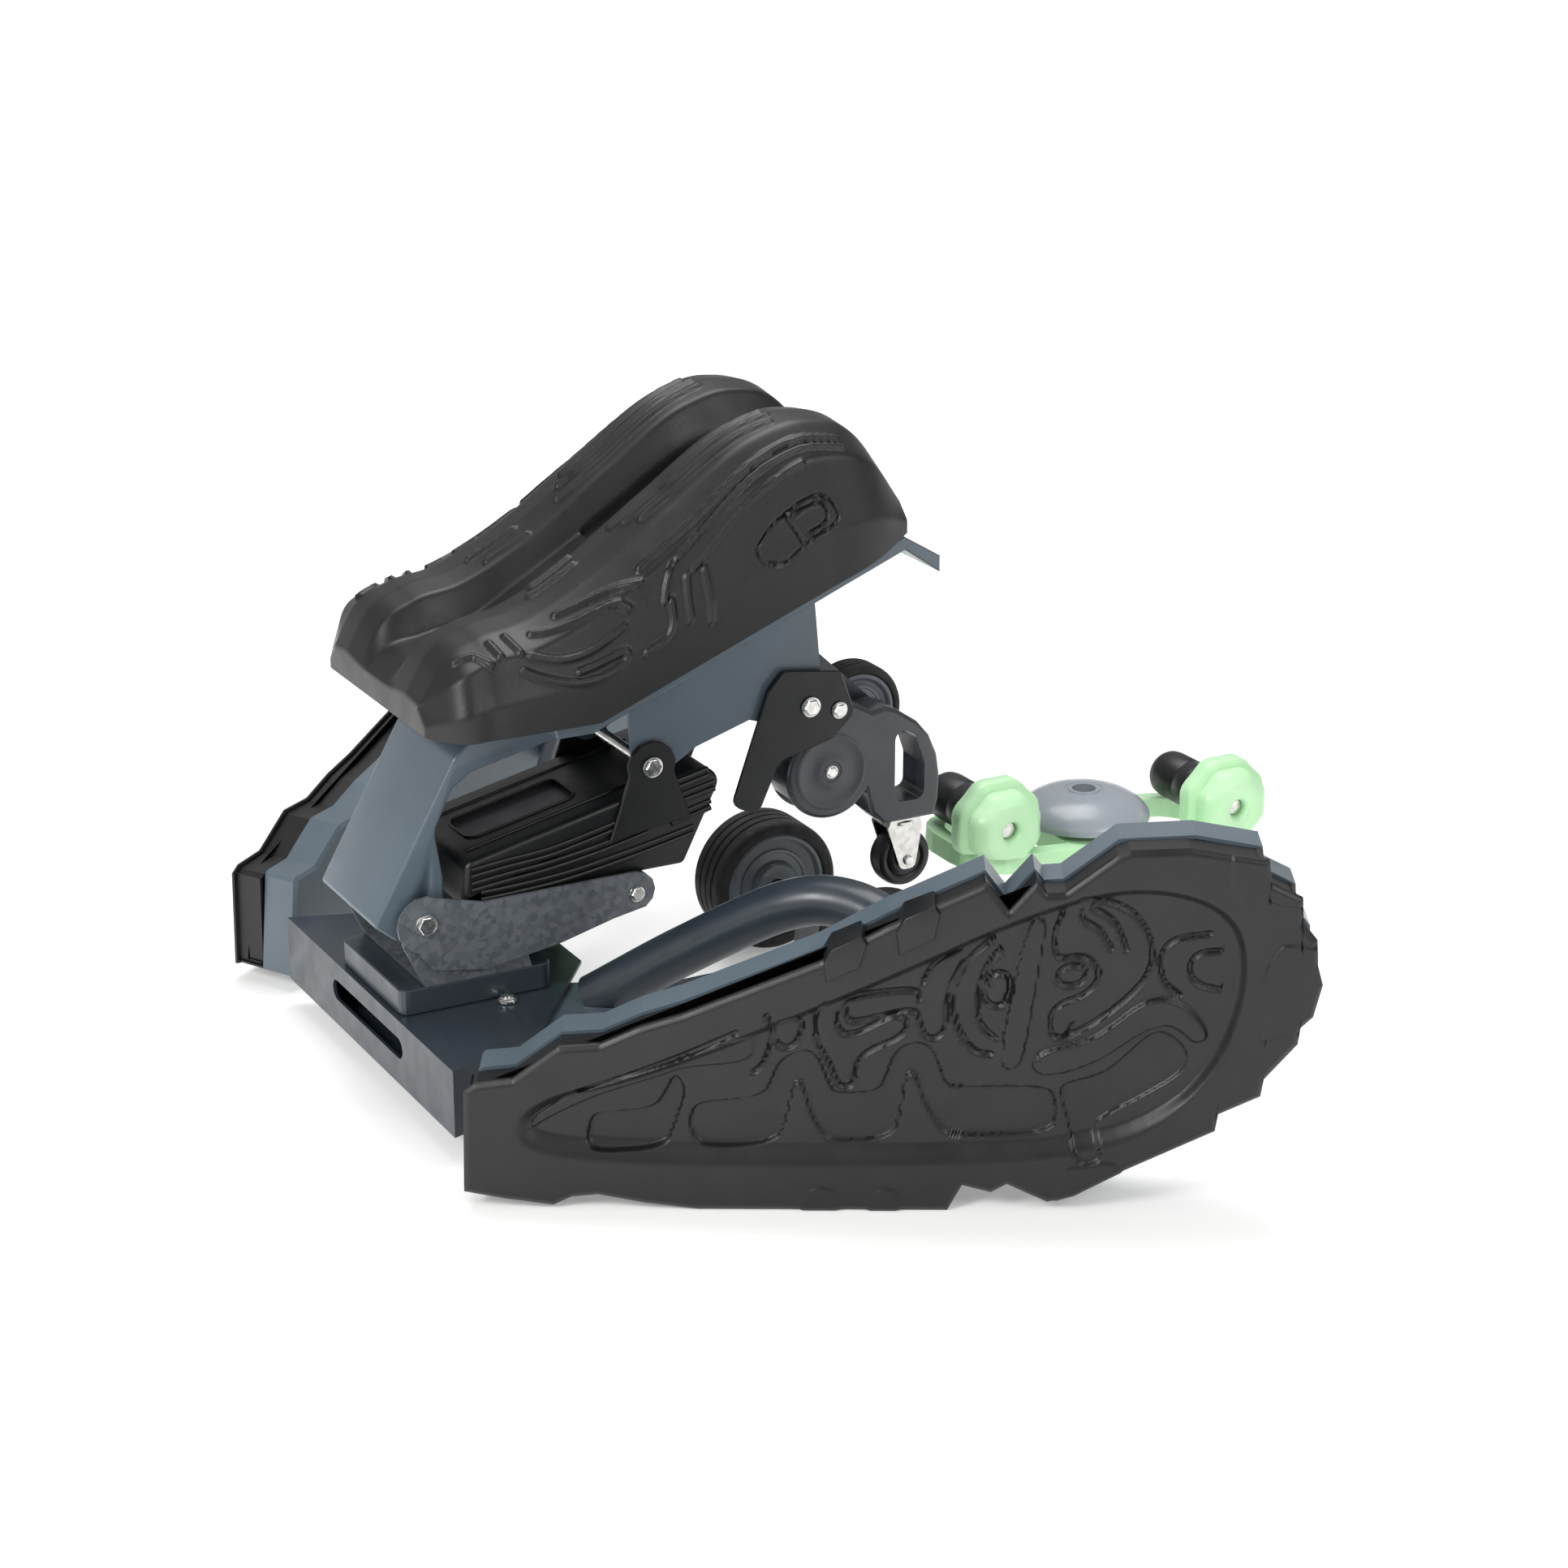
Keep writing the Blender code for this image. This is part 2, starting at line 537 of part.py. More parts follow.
def make_shroud():
    """The ribbed moulding on the arm, with an insert let into its sloping top."""
    half = 0.0622
    profile = rounded([(-0.316, 0.1630, 0), (-0.116, 0.1630, 0.006), (-0.078, 0.238, 0.012),
                       (*SHROUD_TOP[1], 0.010), (*SHROUD_TOP[0], 0.010)])
    shroud = add_piece("ribbed_shroud", prism(profile, -half, half, flat_xz, 0.003), "black_plastic", "arm")
    front, rear = SHROUD_TOP
    slope = atan2(rear[1] - front[1], rear[0] - front[0])

    def on_top(a, b, c):
        x = front[0] + a * cos(slope) - c * sin(slope)
        return Vector((x, b, front[1] + a * sin(slope) + c * cos(slope)))

    hollow = [(-0.305, 0.15), (-0.122, 0.15), (-0.098, 0.2), (-0.098, 0.2395), (-0.305, 0.1935)]
    cut(shroud, prism(hollow, -0.055, 0.055, flat_xz), "arm")
    slot = rounded([(0.020, -0.024, 0.006), (0.120, -0.024, 0.006), (0.120, 0.024, 0.006),
                    (0.020, 0.024, 0.006)])
    cut(shroud, stack(bmesh.new(), [(slot, -0.02), (slot, 0.01)], on_top), "arm")
    fill = offset(slot, GAP)
    rings = [(fill, -0.012), (fill, -0.004)]
    add_piece("slot_insert", stack(bmesh.new(), rings, on_top), "grey_plastic", "arm")
    cheek = (arc(DECK_PIVOT, 0.022, -20, 200, 8) + [(-0.186, 0.196), (-0.112, 0.206)])
    for side, word in ((-1, "left"), (1, "right")):
        low, high = sorted((side * (half + GAP), side * (half + 0.0045)))
        plate = add_piece(word + "_pivot_cheek", prism(cheek, low, high, flat_xz, 0.001),
                          "black_plastic", "arm")
        cut(plate, rod(DECK_BOLT_R + GAP, -BEYOND, BEYOND, (DECK_PIVOT[0], 0, DECK_PIVOT[1])), "arm")
    end = half + 0.0045 + GAP
    pin = bolt(DECK_BOLT_R, 0.009, -end, end, 0.004, (DECK_PIVOT[0], 0, DECK_PIVOT[1]))
    add_piece("deck_pivot_bolt", pin, "chrome", "arm")


# ---- deck ----
def deck_line(x, drop=0.0):
    """Height of the hull's underside, less drop."""
    return DECK_FLAT + DECK_SLOPE * max(0.0, x - DECK_BEND) - drop


def make_deck_bracket():
    half = 0.0615
    under = 0.0136
    boss = arc(DECK_PIVOT, 0.0145, 180, 290, 4)
    outline = boss + [(-0.104, 0.264), (-0.055, 0.279), (-0.020, 0.268), (0.008, 0.270), (0.014, 0.290),
                      (0.004, deck_line(0.004, under)), (-0.168, deck_line(-0.168, under))]
    bracket = add_piece("deck_bracket", prism(outline, -half, half, flat_xz), "blue_grey", "deck")
    inner = half - 0.004
    hollow = [(-0.20, 0.20), (0.05, 0.20), (0.05, deck_line(0.05, under + 0.004)),
              (-0.20, deck_line(-0.20, under + 0.004))]
    cut(bracket, prism(hollow, -inner, inner, flat_xz), "deck")
    cut(bracket, rod(DECK_BOLT_R + GAP, -BEYOND, BEYOND, (DECK_PIVOT[0], 0, DECK_PIVOT[1])), "deck")
    cut(bracket, rod(DECK_BOLT_R + GAP, -BEYOND, BEYOND, (CARRIER_BOLT[0], 0, CARRIER_BOLT[1])), "deck")


def make_pan():
    top = GAP
    base = 0.0133
    outline = [(-0.258, deck_line(-0.258, top)), (DECK_BEND, deck_line(DECK_BEND, top)),
               (0.058, deck_line(0.058, top)), (0.093, 0.414), (0.093, 0.400),
               (0.060, deck_line(0.060, base)), (DECK_BEND, deck_line(DECK_BEND, base)),
               (-0.254, deck_line(-0.254, base))]
    pan = add_piece("hull_pan", prism(outline, -PAN_HALF, PAN_HALF, flat_xz, 0.0015), "blue_grey", "deck")
    floor = base - SHEET
    above = -0.01
    front, rear = -0.249, 0.052
    room = [(front, deck_line(front, above)), (DECK_BEND, deck_line(DECK_BEND, above)),
            (rear, deck_line(rear, above)), (rear, deck_line(rear, floor)),
            (DECK_BEND, deck_line(DECK_BEND, floor)), (front, deck_line(front, floor))]
    cut(pan, prism(room, SHEET - PAN_HALF, PAN_HALF - SHEET, flat_xz), "deck")


def make_hull():
    """A shell lofted along X: two lobes beside a central channel, with a flange that sits on the pan."""
    mesh = bmesh.new()
    rings = []
    for x, half, crest, channel in HULL_STATIONS:
        low = deck_line(x)
        rise = crest - low
        profile = [(-0.098, low), (-half, low), (-half, low + 0.35 * rise),
                   (-half + 0.014, low + 0.80 * rise), (-0.090, crest - 0.003), (-0.062, crest),
                   (-0.034, crest - 0.004), (-0.020, channel)]
        profile += [(-y, z) for y, z in reversed(profile)]
        rings.append([mesh.verts.new((x, y, z)) for y, z in profile])
    for near, far in zip(rings, rings[1:]):
        for i in range(len(near) - 1):
            mesh.faces.new((near[i], near[i + 1], far[i + 1], far[i]))
    mesh.faces.new(rings[0])
    mesh.faces.new(rings[-1])
    hull = add_piece("top_hull", mesh, "black_plastic", "deck")
    wall = hull.modifiers.new("wall", "SOLIDIFY")
    wall.thickness = 0.0035
    wall.offset = -1


def make_carrier():
    outline = rounded([(-0.040, 0.304, 0.006), (-0.026, 0.319, 0.006), (0.028, 0.311, 0.006),
                       (0.042, 0.272, 0.010), (0.020, 0.252, 0.006), (-0.030, 0.240, 0.010),
                       (-0.050, 0.196, 0.008), (-0.074, 0.208, 0.008)])
    for side, word in ((-1, "left"), (1, "right")):
        low, high = sorted((side * 0.0635, side * 0.0685))
        plate = add_piece(word + "_carrier_plate", prism(outline, low, high, flat_xz, 0.001),
                          "black_plastic", "deck")
        cut(plate, rod(DECK_BOLT_R + GAP, -BEYOND, BEYOND, (CARRIER_BOLT[0], 0, CARRIER_BOLT[1])), "deck")
        cut(plate, rod(SMALL_PIN_R + GAP, -BEYOND, BEYOND, (SWING_PIN[0], 0, SWING_PIN[1])), "deck")
    pin = bolt(DECK_BOLT_R, 0.009, -0.0688, 0.0688, 0.004, (CARRIER_BOLT[0], 0, CARRIER_BOLT[1]))
    add_piece("carrier_bolt", pin, "chrome", "deck")


def make_idler():
    """A wheel on a fork behind the deck bracket."""
    leg = rounded([(0.0145, 0.303, 0), (0.062, 0.242, 0.010), (0.086, 0.236, 0.010), (0.086, 0.262, 0.012),
                   (0.0085, 0.335, 0)])
    fork = add_piece("idler_fork", prism(leg, -0.0205, 0.0205, flat_xz), "slate", "deck")
    room = arc((IDLER[0], IDLER[1]), IDLER_R + 0.003, 0, 345, 23)
    cut(fork, prism(room, -0.0165, 0.0165, flat_xz), "deck")
    axle = bolt(DECK_BOLT_R, 0.008, -0.0208, 0.0208, 0.004, (IDLER[0], 0, IDLER[1]))
    cut(fork, rod(DECK_BOLT_R + GAP, -BEYOND, BEYOND, (IDLER[0], 0, IDLER[1])), "deck")
    add_piece("idler_axle", axle, "chrome", "deck")
    make_wheel("idler", (IDLER[0], 0, IDLER[1]), IDLER_R, 0.028, 0.005, "idler")


def make_wheel(word, centre, radius, width, bore, body):
    """A tyre on a stepped hub; the hub turns on an axle of radius bore."""
    half = width / 2
    rim = radius * 0.80
    hub = [(rim, half * 0.92), (rim, -half * 0.92), (rim - 0.004, -half * 0.92), (rim * 0.62, -half * 0.70),
           (rim * 0.42, -half), (bore + GAP, -half), (bore + GAP, half), (rim * 0.42, half),
           (rim * 0.62, half * 0.70), (rim - 0.004, half * 0.92)]
    add_piece(word + "_hub", turned(hub, centre, "y", SIDES, True), "grey_plastic", body)
    tread = [(radius, half * 0.6), (radius, -half * 0.6), (radius - 0.004, -half), (rim + GAP, -half),
             (rim + GAP, half), (radius - 0.004, half)]
    add_piece(word + "_tyre", turned(tread, centre, "y", SIDES, True), "rubber", body)


# ---- swing caster ----
def make_hood():
    """A hood over the caster wheel, hung from the swing pin, whose arm ends over the small caster."""
    lug = arc(SWING_PIN, 0.011, 150, 30, 4)
    outline = lug + [(0.062, 0.268), (0.080, 0.268), (0.112, 0.246), (0.126, 0.222), (0.128, 0.186),
                     (0.122, 0.164), (0.074, 0.164), (0.062, 0.176), (0.058, 0.200)]
    outline += arc(HOOD_WHEEL, 0.042, -38, -170, 7) + arc(HOOD_WHEEL, 0.042, 180, 120, 3)
    hood = add_piece("caster_hood", prism(outline, HOOD_NEAR, HOOD_FAR, flat_xz, 0.0015),
                     "slate", "swing_arm")
    room = (arc(HOOD_WHEEL, HOOD_WHEEL_R + 0.003, 0, 180, 10)
            + [(HOOD_WHEEL[0] - 0.037, 0.14), (HOOD_WHEEL[0] + 0.037, 0.14)])
    cut(hood, prism(room, HOOD_NEAR + 0.004, HOOD_FAR - 0.004, flat_xz), "swing_arm")
    cut(hood, rod(SMALL_PIN_R + GAP, -BEYOND, BEYOND, (SWING_PIN[0], 0, SWING_PIN[1])), "swing_arm")
    cut(hood, rod(SMALL_PIN_R + GAP, -BEYOND, BEYOND, (HOOD_WHEEL[0], 0, HOOD_WHEEL[1])), "swing_arm")
    cut(hood, rod(STEM_R + GAP, 0.15, 0.18, (*SMALL_CASTER, 0), "z"), "swing_arm")
    window = rounded([(0.084, 0.252, 0.006), (0.104, 0.240, 0.006), (0.112, 0.214, 0.006),
                      (0.112, 0.182, 0.006), (0.084, 0.182, 0.006)])
    cut(hood, prism(window, -0.08, 0.0, flat_xz), "swing_arm")
    add_piece("swing_pin", bolt(SMALL_PIN_R, 0.0075, -0.0688, 0.0688, 0.004, (SWING_PIN[0], 0, SWING_PIN[1])),
              "chrome", "deck")
    axle = bolt(SMALL_PIN_R, 0.006, HOOD_NEAR - GAP, HOOD_FAR + GAP, 0.003, (HOOD_WHEEL[0], 0, HOOD_WHEEL[1]))
    add_piece("hood_axle", axle, "chrome", "swing_arm")
    middle = (HOOD_NEAR + HOOD_FAR) / 2
    make_wheel("caster", (HOOD_WHEEL[0], middle, HOOD_WHEEL[1]), HOOD_WHEEL_R, 0.028, 0.004, "caster_wheel")


def make_small_caster():
    """A swivel fork on a stem in the hood's arm, and a small wheel in it."""
    x, y = SMALL_CASTER
    wheel_z = HOOD_ARM_BOTTOM - SMALL_DROP
    crown = rounded([(x - 0.014, HOOD_ARM_BOTTOM - GAP, 0), (x + 0.014, HOOD_ARM_BOTTOM - GAP, 0),
                     (x + 0.017, HOOD_ARM_BOTTOM - 0.008, 0), (x + 0.010, wheel_z - 0.008, 0.006),
                     (x - 0.004, wheel_z - 0.008, 0.006), (x - 0.017, HOOD_ARM_BOTTOM - 0.008, 0)])
    fork = add_piece("swivel_fork", prism(crown, y - 0.0145, y + 0.0145, flat_xz), "chrome", "swivel")
    centre = (x + SMALL_TRAIL, y, wheel_z)
    room = [(x - 0.05, wheel_z - 0.05), (x + 0.05, wheel_z - 0.05), (x + 0.05, HOOD_ARM_BOTTOM - 0.007),
            (x - 0.05, HOOD_ARM_BOTTOM - 0.007)]
    cut(fork, prism(room, y - 0.012, y + 0.012, flat_xz), "swivel")
    cut(fork, rod(FORK_AXLE_R + GAP, -0.03, 0.03, centre), "swivel")
    stem_hole = rod(STEM_R + GAP, HOOD_ARM_BOTTOM - 0.02, HOOD_ARM_BOTTOM + 0.01, (x, y, 0), "z")
    cut(fork, stem_hole, "swivel")
    flange = HOOD_ARM_BOTTOM - 0.0073
    stem = [(0.0075, flange - 0.002), (0.0075, flange), (STEM_R, flange), (STEM_R, HOOD_ARM_BOTTOM + 0.009)]
    add_piece("swivel_stem", turned(stem, (x, y, 0), "z", 12), "chrome", "swing_arm")
    axle = bolt(FORK_AXLE_R, 0.0045, -0.0148, 0.0148, 0.002, centre)
    add_piece("swivel_axle", axle, "chrome", "swivel")
    tread = [(SMALL_WHEEL_R, 0.007), (SMALL_WHEEL_R, -0.007), (SMALL_WHEEL_R - 0.003, -0.0105),
             (0.0033, -0.0105), (0.0033, 0.0105), (SMALL_WHEEL_R - 0.003, 0.0105)]
    add_piece("swivel_wheel", turned(tread, centre, "y", 16, True), "rubber", "swivel_wheel")


# ---- rear bogie ----
def bogie_place(a, b, c):
    """Maps the bogie's own level frame to the model, pitched nose up."""
    return Vector((BOGIE_X + a * cos(BOGIE_PITCH) + c * sin(BOGIE_PITCH), b,
                   BOGIE_Z - a * sin(BOGIE_PITCH) + c * cos(BOGIE_PITCH)))


def make_bogie():
    rail = 0.016
    outer = rounded([(-0.150, -0.060, 0.045), (0.150, -0.060, 0.045), (0.150, 0.060, 0.045),
                     (-0.150, 0.060, 0.045)], 5)
    frame = add_piece("bogie_frame", stack(bmesh.new(), [(outer, -0.009), (outer, 0.009)], bogie_place),
                      "green_plastic", "bogie")
    window = [(a, b) for a, b in offset(outer, rail) if a > 0.06] + [(0.046, 0.044), (0.046, -0.044)]
    for side in (-1, 1):
        opening = [(side * a, b) for a, b in window]
        cut(frame, stack(bmesh.new(), [(opening, -0.02), (opening, 0.02)], bogie_place), "bogie")
    cut(frame, rod(POST_BORE, 0.0, 0.3, (BOGIE_X, 0, 0), "z"), "bogie")
    profile = [(POST_BORE, 0.0195), (0.040, 0.0195), (0.060, 0.0195), (0.060, 0.024), (0.052, 0.034),
               (0.036, 0.042), (POST_BORE, 0.046)]
    dome = turned([(r, h + BOGIE_Z - 0.003) for r, h in profile], (BOGIE_X, 0, 0), "z", SIDES, True)
    add_piece("bogie_dome", dome, "blue_grey", "bogie")
    for end, word in ((-1, "front"), (1, "rear")):
        centre = bogie_place(end * ROLLER_REACH, -0.045, ROLLER_LIFT)
        cap_r = 0.043
        profile = [(0.008, 0.024), (0.030, 0.024), (cap_r, 0.014), (cap_r, -0.012), (0.034, -0.022),
                   (0.008, -0.024)]
        cap = turned(profile, centre, "y", 14, True)
        piece = add_piece(word + "_roller_cap", cap, "green_plastic", "bogie")
        level = [(-0.2, -0.2), (0.2, -0.2), (0.2, 0.0093), (-0.2, 0.0093)]
        below = stack(bmesh.new(), [(level, -0.2), (level, 0.2)],
                      lambda a, b, c: bogie_place(a, c, b))
        cut(piece, below, "bogie")
        axle_centre = (centre.x, 0, centre.z)
        axle = turned([(0.0077, -0.060), (0.0077, -0.019), (0.005, -0.019), (0.005, 0.052), (0.009, 0.052),
                       (0.009, 0.058)], axle_centre, "y", 12)
        add_piece(word + "_roller_axle", axle, "chrome", "bogie")
        barrel = [(0.0053, -0.0185), (0.016, -0.0185), (ROLLER_R, -0.008), (ROLLER_R, 0.040), (0.016, 0.0515),
                  (0.0053, 0.0515)]
        add_piece(word + "_roller", turned(barrel, axle_centre, "y", 16, True), "rubber", word + "_roller")


def make_model():
    clear_scene()
    make_materials()
    add_body("base", (0, 0, 0))
    BODIES["base"][0].location = (ORIGIN_SHIFT, 0, 0)
    for side, word in ((-1, "left"), (1, "right")):
        add_body(word + "_leg", (LEG_PIVOT[0], side * LEG_PIVOT[1], 0.0505), "base")
        add_body(word + "_wheel", (WHEEL_X, side * WHEEL_Y, WHEEL_R), "base")
    add_body("arm", (ARM_PIVOT[0], 0, ARM_PIVOT[1]), "base")
    add_body("deck", (DECK_PIVOT[0], 0, DECK_PIVOT[1]), "arm")
    add_body("idler", (IDLER[0], 0, IDLER[1]), "deck")
    add_body("swing_arm", (SWING_PIN[0], 0, SWING_PIN[1]), "deck")
    add_body("caster_wheel", (HOOD_WHEEL[0], 0, HOOD_WHEEL[1]), "swing_arm")
    add_body("swivel", (*SMALL_CASTER, HOOD_ARM_BOTTOM), "swing_arm")
    add_body("swivel_wheel", (SMALL_CASTER[0] + SMALL_TRAIL, SMALL_CASTER[1], HOOD_ARM_BOTTOM - SMALL_DROP),
             "swivel")
    add_body("bogie", (BOGIE_X, 0, BOGIE_Z), "base")
    for end, word in ((-1, "front"), (1, "rear")):
        add_body(word + "_roller", bogie_place(end * ROLLER_REACH, 0, ROLLER_LIFT), "bogie")

    make_front_box()
    make_box_floor()
    make_pivot_bolts()
    make_mast_mount()
    make_spine()
    for side, word in ((-1, "left"), (1, "right")):
        make_cover(word, side)
        make_leg_tube(word, side)
        make_leg_socket(word, side)
        make_wheel(word + "_main", (WHEEL_X, side * WHEEL_Y, WHEEL_R), WHEEL_R, WHEEL_WIDTH, AXLE_R,
                   word + "_wheel")
    make_lift_arm()
    make_mast_cover()
    make_shroud()
    make_deck_bracket()
    make_pan()
    make_hull()
    make_carrier()
    make_idler()
    make_hood()
    make_small_caster()
    make_bogie()


make_model()
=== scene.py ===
"""Looks for the folding rolling base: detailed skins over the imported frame, materials, light and camera.

Shapes are given in the model's own frame (metres, +X to the rear, the left side at -Y) and moved by
SHIFT into the frame's.
"""
from math import atan2, cos, pi, radians, sin

import bmesh
import bpy
import numpy as np
from mathutils import Matrix, Vector


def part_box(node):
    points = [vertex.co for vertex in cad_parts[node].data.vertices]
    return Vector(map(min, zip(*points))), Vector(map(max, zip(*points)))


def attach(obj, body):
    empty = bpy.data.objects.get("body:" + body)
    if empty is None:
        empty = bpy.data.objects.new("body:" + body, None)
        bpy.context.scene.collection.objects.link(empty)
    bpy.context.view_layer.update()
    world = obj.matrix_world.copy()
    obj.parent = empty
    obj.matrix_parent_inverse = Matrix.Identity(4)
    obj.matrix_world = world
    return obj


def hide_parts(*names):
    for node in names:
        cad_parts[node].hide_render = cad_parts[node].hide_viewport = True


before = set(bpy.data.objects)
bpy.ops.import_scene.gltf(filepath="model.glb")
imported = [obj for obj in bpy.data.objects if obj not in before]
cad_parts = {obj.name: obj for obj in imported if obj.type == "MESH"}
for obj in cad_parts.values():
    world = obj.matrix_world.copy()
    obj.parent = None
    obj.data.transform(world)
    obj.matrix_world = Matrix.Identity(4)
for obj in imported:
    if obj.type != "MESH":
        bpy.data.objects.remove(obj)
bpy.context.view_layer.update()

# ---- driving dimensions, as in the model ----
MM = 0.001
GAP = 0.0003                      # running gap between touching pieces
BEYOND = 0.09                     # half length of a cutter that passes right through
BOX_FRONT = -0.378
BOX_BOTTOM = 0.022
BOX_TOP = 0.079
SHIFT = Vector((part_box("front_box")[0].x - BOX_FRONT, 0, 0))
LEG_ANGLE = radians(28.81)
LEG_FRONT = (-0.345, 0.290)
COVER_DEPTH = 0.035
SHELL_DEPTH = 0.035
TUBE_R = 0.0205
ROUND = 64                        # sides of a round piece
LEG_PIVOT = (-0.285, 0.075)
ARM_PIVOT = (-0.351, 0.156)
DECK_PIVOT = (-0.147, 0.255)
CARRIER_BOLT = (-0.001, 0.284)
IDLER = (0.077, 0.250)
SWING_PIN = (0.026, 0.277)
HOOD_WHEEL = (0.022, 0.221)
HOOD_NEAR = -0.063
HOOD_FAR = -0.0265
SMALL_CASTER = (0.098, -0.043)
MAST_HALF = 0.0585
SHEET = 0.003
PIVOT_R = 0.006                   # arm pivot pin
DECK_BOLT_R = 0.005               # deck, carrier, idler and leg bolts
SMALL_PIN_R = 0.004               # arm end, swing pin and hood axle
FORK_AXLE_R = 0.003
AXLE_R = 0.006                    # main axle
MAIN_WHEEL = (0.050, 0.110, 0.060)
MAIN_WHEEL_WIDTH = 0.050
IDLER_R = 0.042
HOOD_WHEEL_R = 0.034
CASTER_WIDTH = 0.028
SMALL_WHEEL_Z = 0.125
SMALL_TRAIL = 0.003               # small wheel's axle behind its stem
BOGIE_X = 0.318
BOGIE_Z = 0.092
BOGIE_PITCH = radians(4.9)
POST_BORE = 0.0109
ROLLER_REACH = 0.121
ROLLER_LIFT = 0.033               # roller axis above the bogie's middle plane
SHROUD_HALF = 0.0622
SHROUD_TOP = [(-0.312, 0.199), (-0.104, 0.245)]
SHROUD_BEADS = [[(-0.308, 0.190), (-0.277, 0.193), (-0.238, 0.196), (-0.192, 0.205), (-0.152, 0.214)],
                [(-0.308, 0.178), (-0.278, 0.181), (-0.240, 0.184), (-0.193, 0.191), (-0.150, 0.200)],
                [(-0.300, 0.169), (-0.262, 0.170), (-0.219, 0.173), (-0.161, 0.182), (-0.108, 0.192)],
                [(-0.148, 0.229), (-0.118, 0.235), (-0.094, 0.240)],
                [(-0.146, 0.216), (-0.118, 0.222), (-0.088, 0.228)],
                [(-0.128, 0.204), (-0.108, 0.208), (-0.092, 0.212)]]
TUBE_ROUTE = [(-0.2147, -0.0899, 0.0726), (-0.157, -0.145, 0.125), (-0.100, -0.207, 0.174),
              (-0.065, -0.248, 0.183), (-0.042, -0.300, 0.168), (-0.034, -0.350, 0.138),
              (-0.0325, -0.3950, 0.112)]
# cross pins: (node, radius, head radius, half length, head depth, place, body)
PINS = [("arm_pivot_pin", PIVOT_R, 0.0095, 0.0693, 0.004, ARM_PIVOT, "base"),
        ("arm_end_bolt", SMALL_PIN_R, 0.007, 0.0693, 0.003, (-0.164, 0.148), "arm"),
        ("deck_pivot_bolt", DECK_BOLT_R, 0.009, 0.0670, 0.004, DECK_PIVOT, "arm"),
        ("carrier_bolt", DECK_BOLT_R, 0.009, 0.0688, 0.004, CARRIER_BOLT, "deck"),
        ("swing_pin", SMALL_PIN_R, 0.0075, 0.0688, 0.004, SWING_PIN, "deck"),
        ("idler_axle", DECK_BOLT_R, 0.008, 0.0208, 0.004, IDLER, "deck"),
        ("main_axle", AXLE_R, 0.010, 0.138, 0.006, (0.050, 0.060), "base")]


COVER_OUTLINE = [(-68, 14), (-66, 98), (-58, 104), (-29, 108), (-11, 122), (6, 135), (37, 137), (67, 151),
                 (98, 161), (201, 204), (252, 233), (326, 268), (342, 246), (362, 270), (370, 260),
                 (383, 261), (420, 290), (430, 294), (474, 296), (532, 287), (534.5, 269), (558, 257),
                 (559.5, 237), (570.5, 223), (571.5, 204), (576, 188), (570, 162), (561, 153), (560, 139),
                 (536, 110), (534, 96), (503, 81), (501, 67), (430, 32), (396, 13), (376, 7), (345, 22),
                 (333, 15), (311, 21), (300, 0), (110, 0), (70, 5), (34, 12), (14, 10), (0, 3), (-36, 8)]
DISH_OUTLINE = [(-30, 52), (-20, 90), (80, 116), (240, 186), (360, 246), (440, 268), (510, 248), (524, 190),
                (500, 110), (430, 52), (300, 40), (60, 40)]

# what is pressed into the cover (positive) or raised on it (negative), in mm: (closed outline, level)
COVER_PANELS = [
    ([(104, 70), (107, 82), (115, 87), (160, 91), (167, 108), (172, 120), (183, 128), (194, 130), (201, 124),
      (206, 111), (210, 100), (215, 94), (247, 96), (252, 108), (257, 124), (265, 134), (277, 137),
      (287, 132), (293, 116), (297, 103), (304, 100), (371, 101), (379, 95), (382, 80), (379, 62),
      (303, 59), (293, 66), (281, 88), (276, 106), (271, 113), (267, 106), (264, 80), (258, 57),
      (214, 54), (205, 60), (195, 78), (190, 100), (186, 105), (182, 98), (176, 66), (167, 53),
      (117, 50), (107, 57)], 4.32),
    ([(26, 52), (29, 74), (38, 78), (77, 81), (86, 95), (94, 112), (102, 96), (92, 66), (86, 50),
      (36, 47)], 4.32),
    ([(383, 98), (389, 104), (416, 111), (433, 127), (446, 141), (456, 147), (466, 143), (476, 134),
      (480, 122), (472, 110), (446, 93), (420, 78), (410, 71), (413, 54), (417, 43), (398, 37),
      (391, 70)], 3.60),
    ([(-16, 64), (-14, 77), (32, 103), (84, 121), (151, 146), (154, 134), (148, 121), (100, 117), (84, 110),
      (32, 93), (-8, 72)], -2.88),
    ([(357, 236), (371, 242), (364, 190), (355, 122), (346, 115), (337, 120), (346, 180)], -3.96),
    ([(362, 120), (370, 131), (403, 139), (424, 154), (438, 167), (455, 175), (472, 171), (486, 158),
      (494, 143), (484, 137), (474, 147), (464, 153), (452, 151), (438, 143), (420, 129), (402, 119),
      (382, 112), (366, 112)], -3.96),
    ([(187, -9), (191, 19), (216, 20), (219, -9)], -2.16),
    ([(237, -9), (242, 19), (265, 18), (262, -9)], -2.16),
    ([(379, -9), (385, 35), (399, 38), (431, 43), (436, 10), (420, -9)], -2.16),
    ([(505, 250), (520, 265), (541, 250), (600, 250), (600, 330), (505, 330)], -2.16),
    ([(541, 214), (546, 221), (566, 217), (600, 217), (600, 150), (545, 150), (531, 138), (528, 170),
      (533, 200)], -2.16),
]
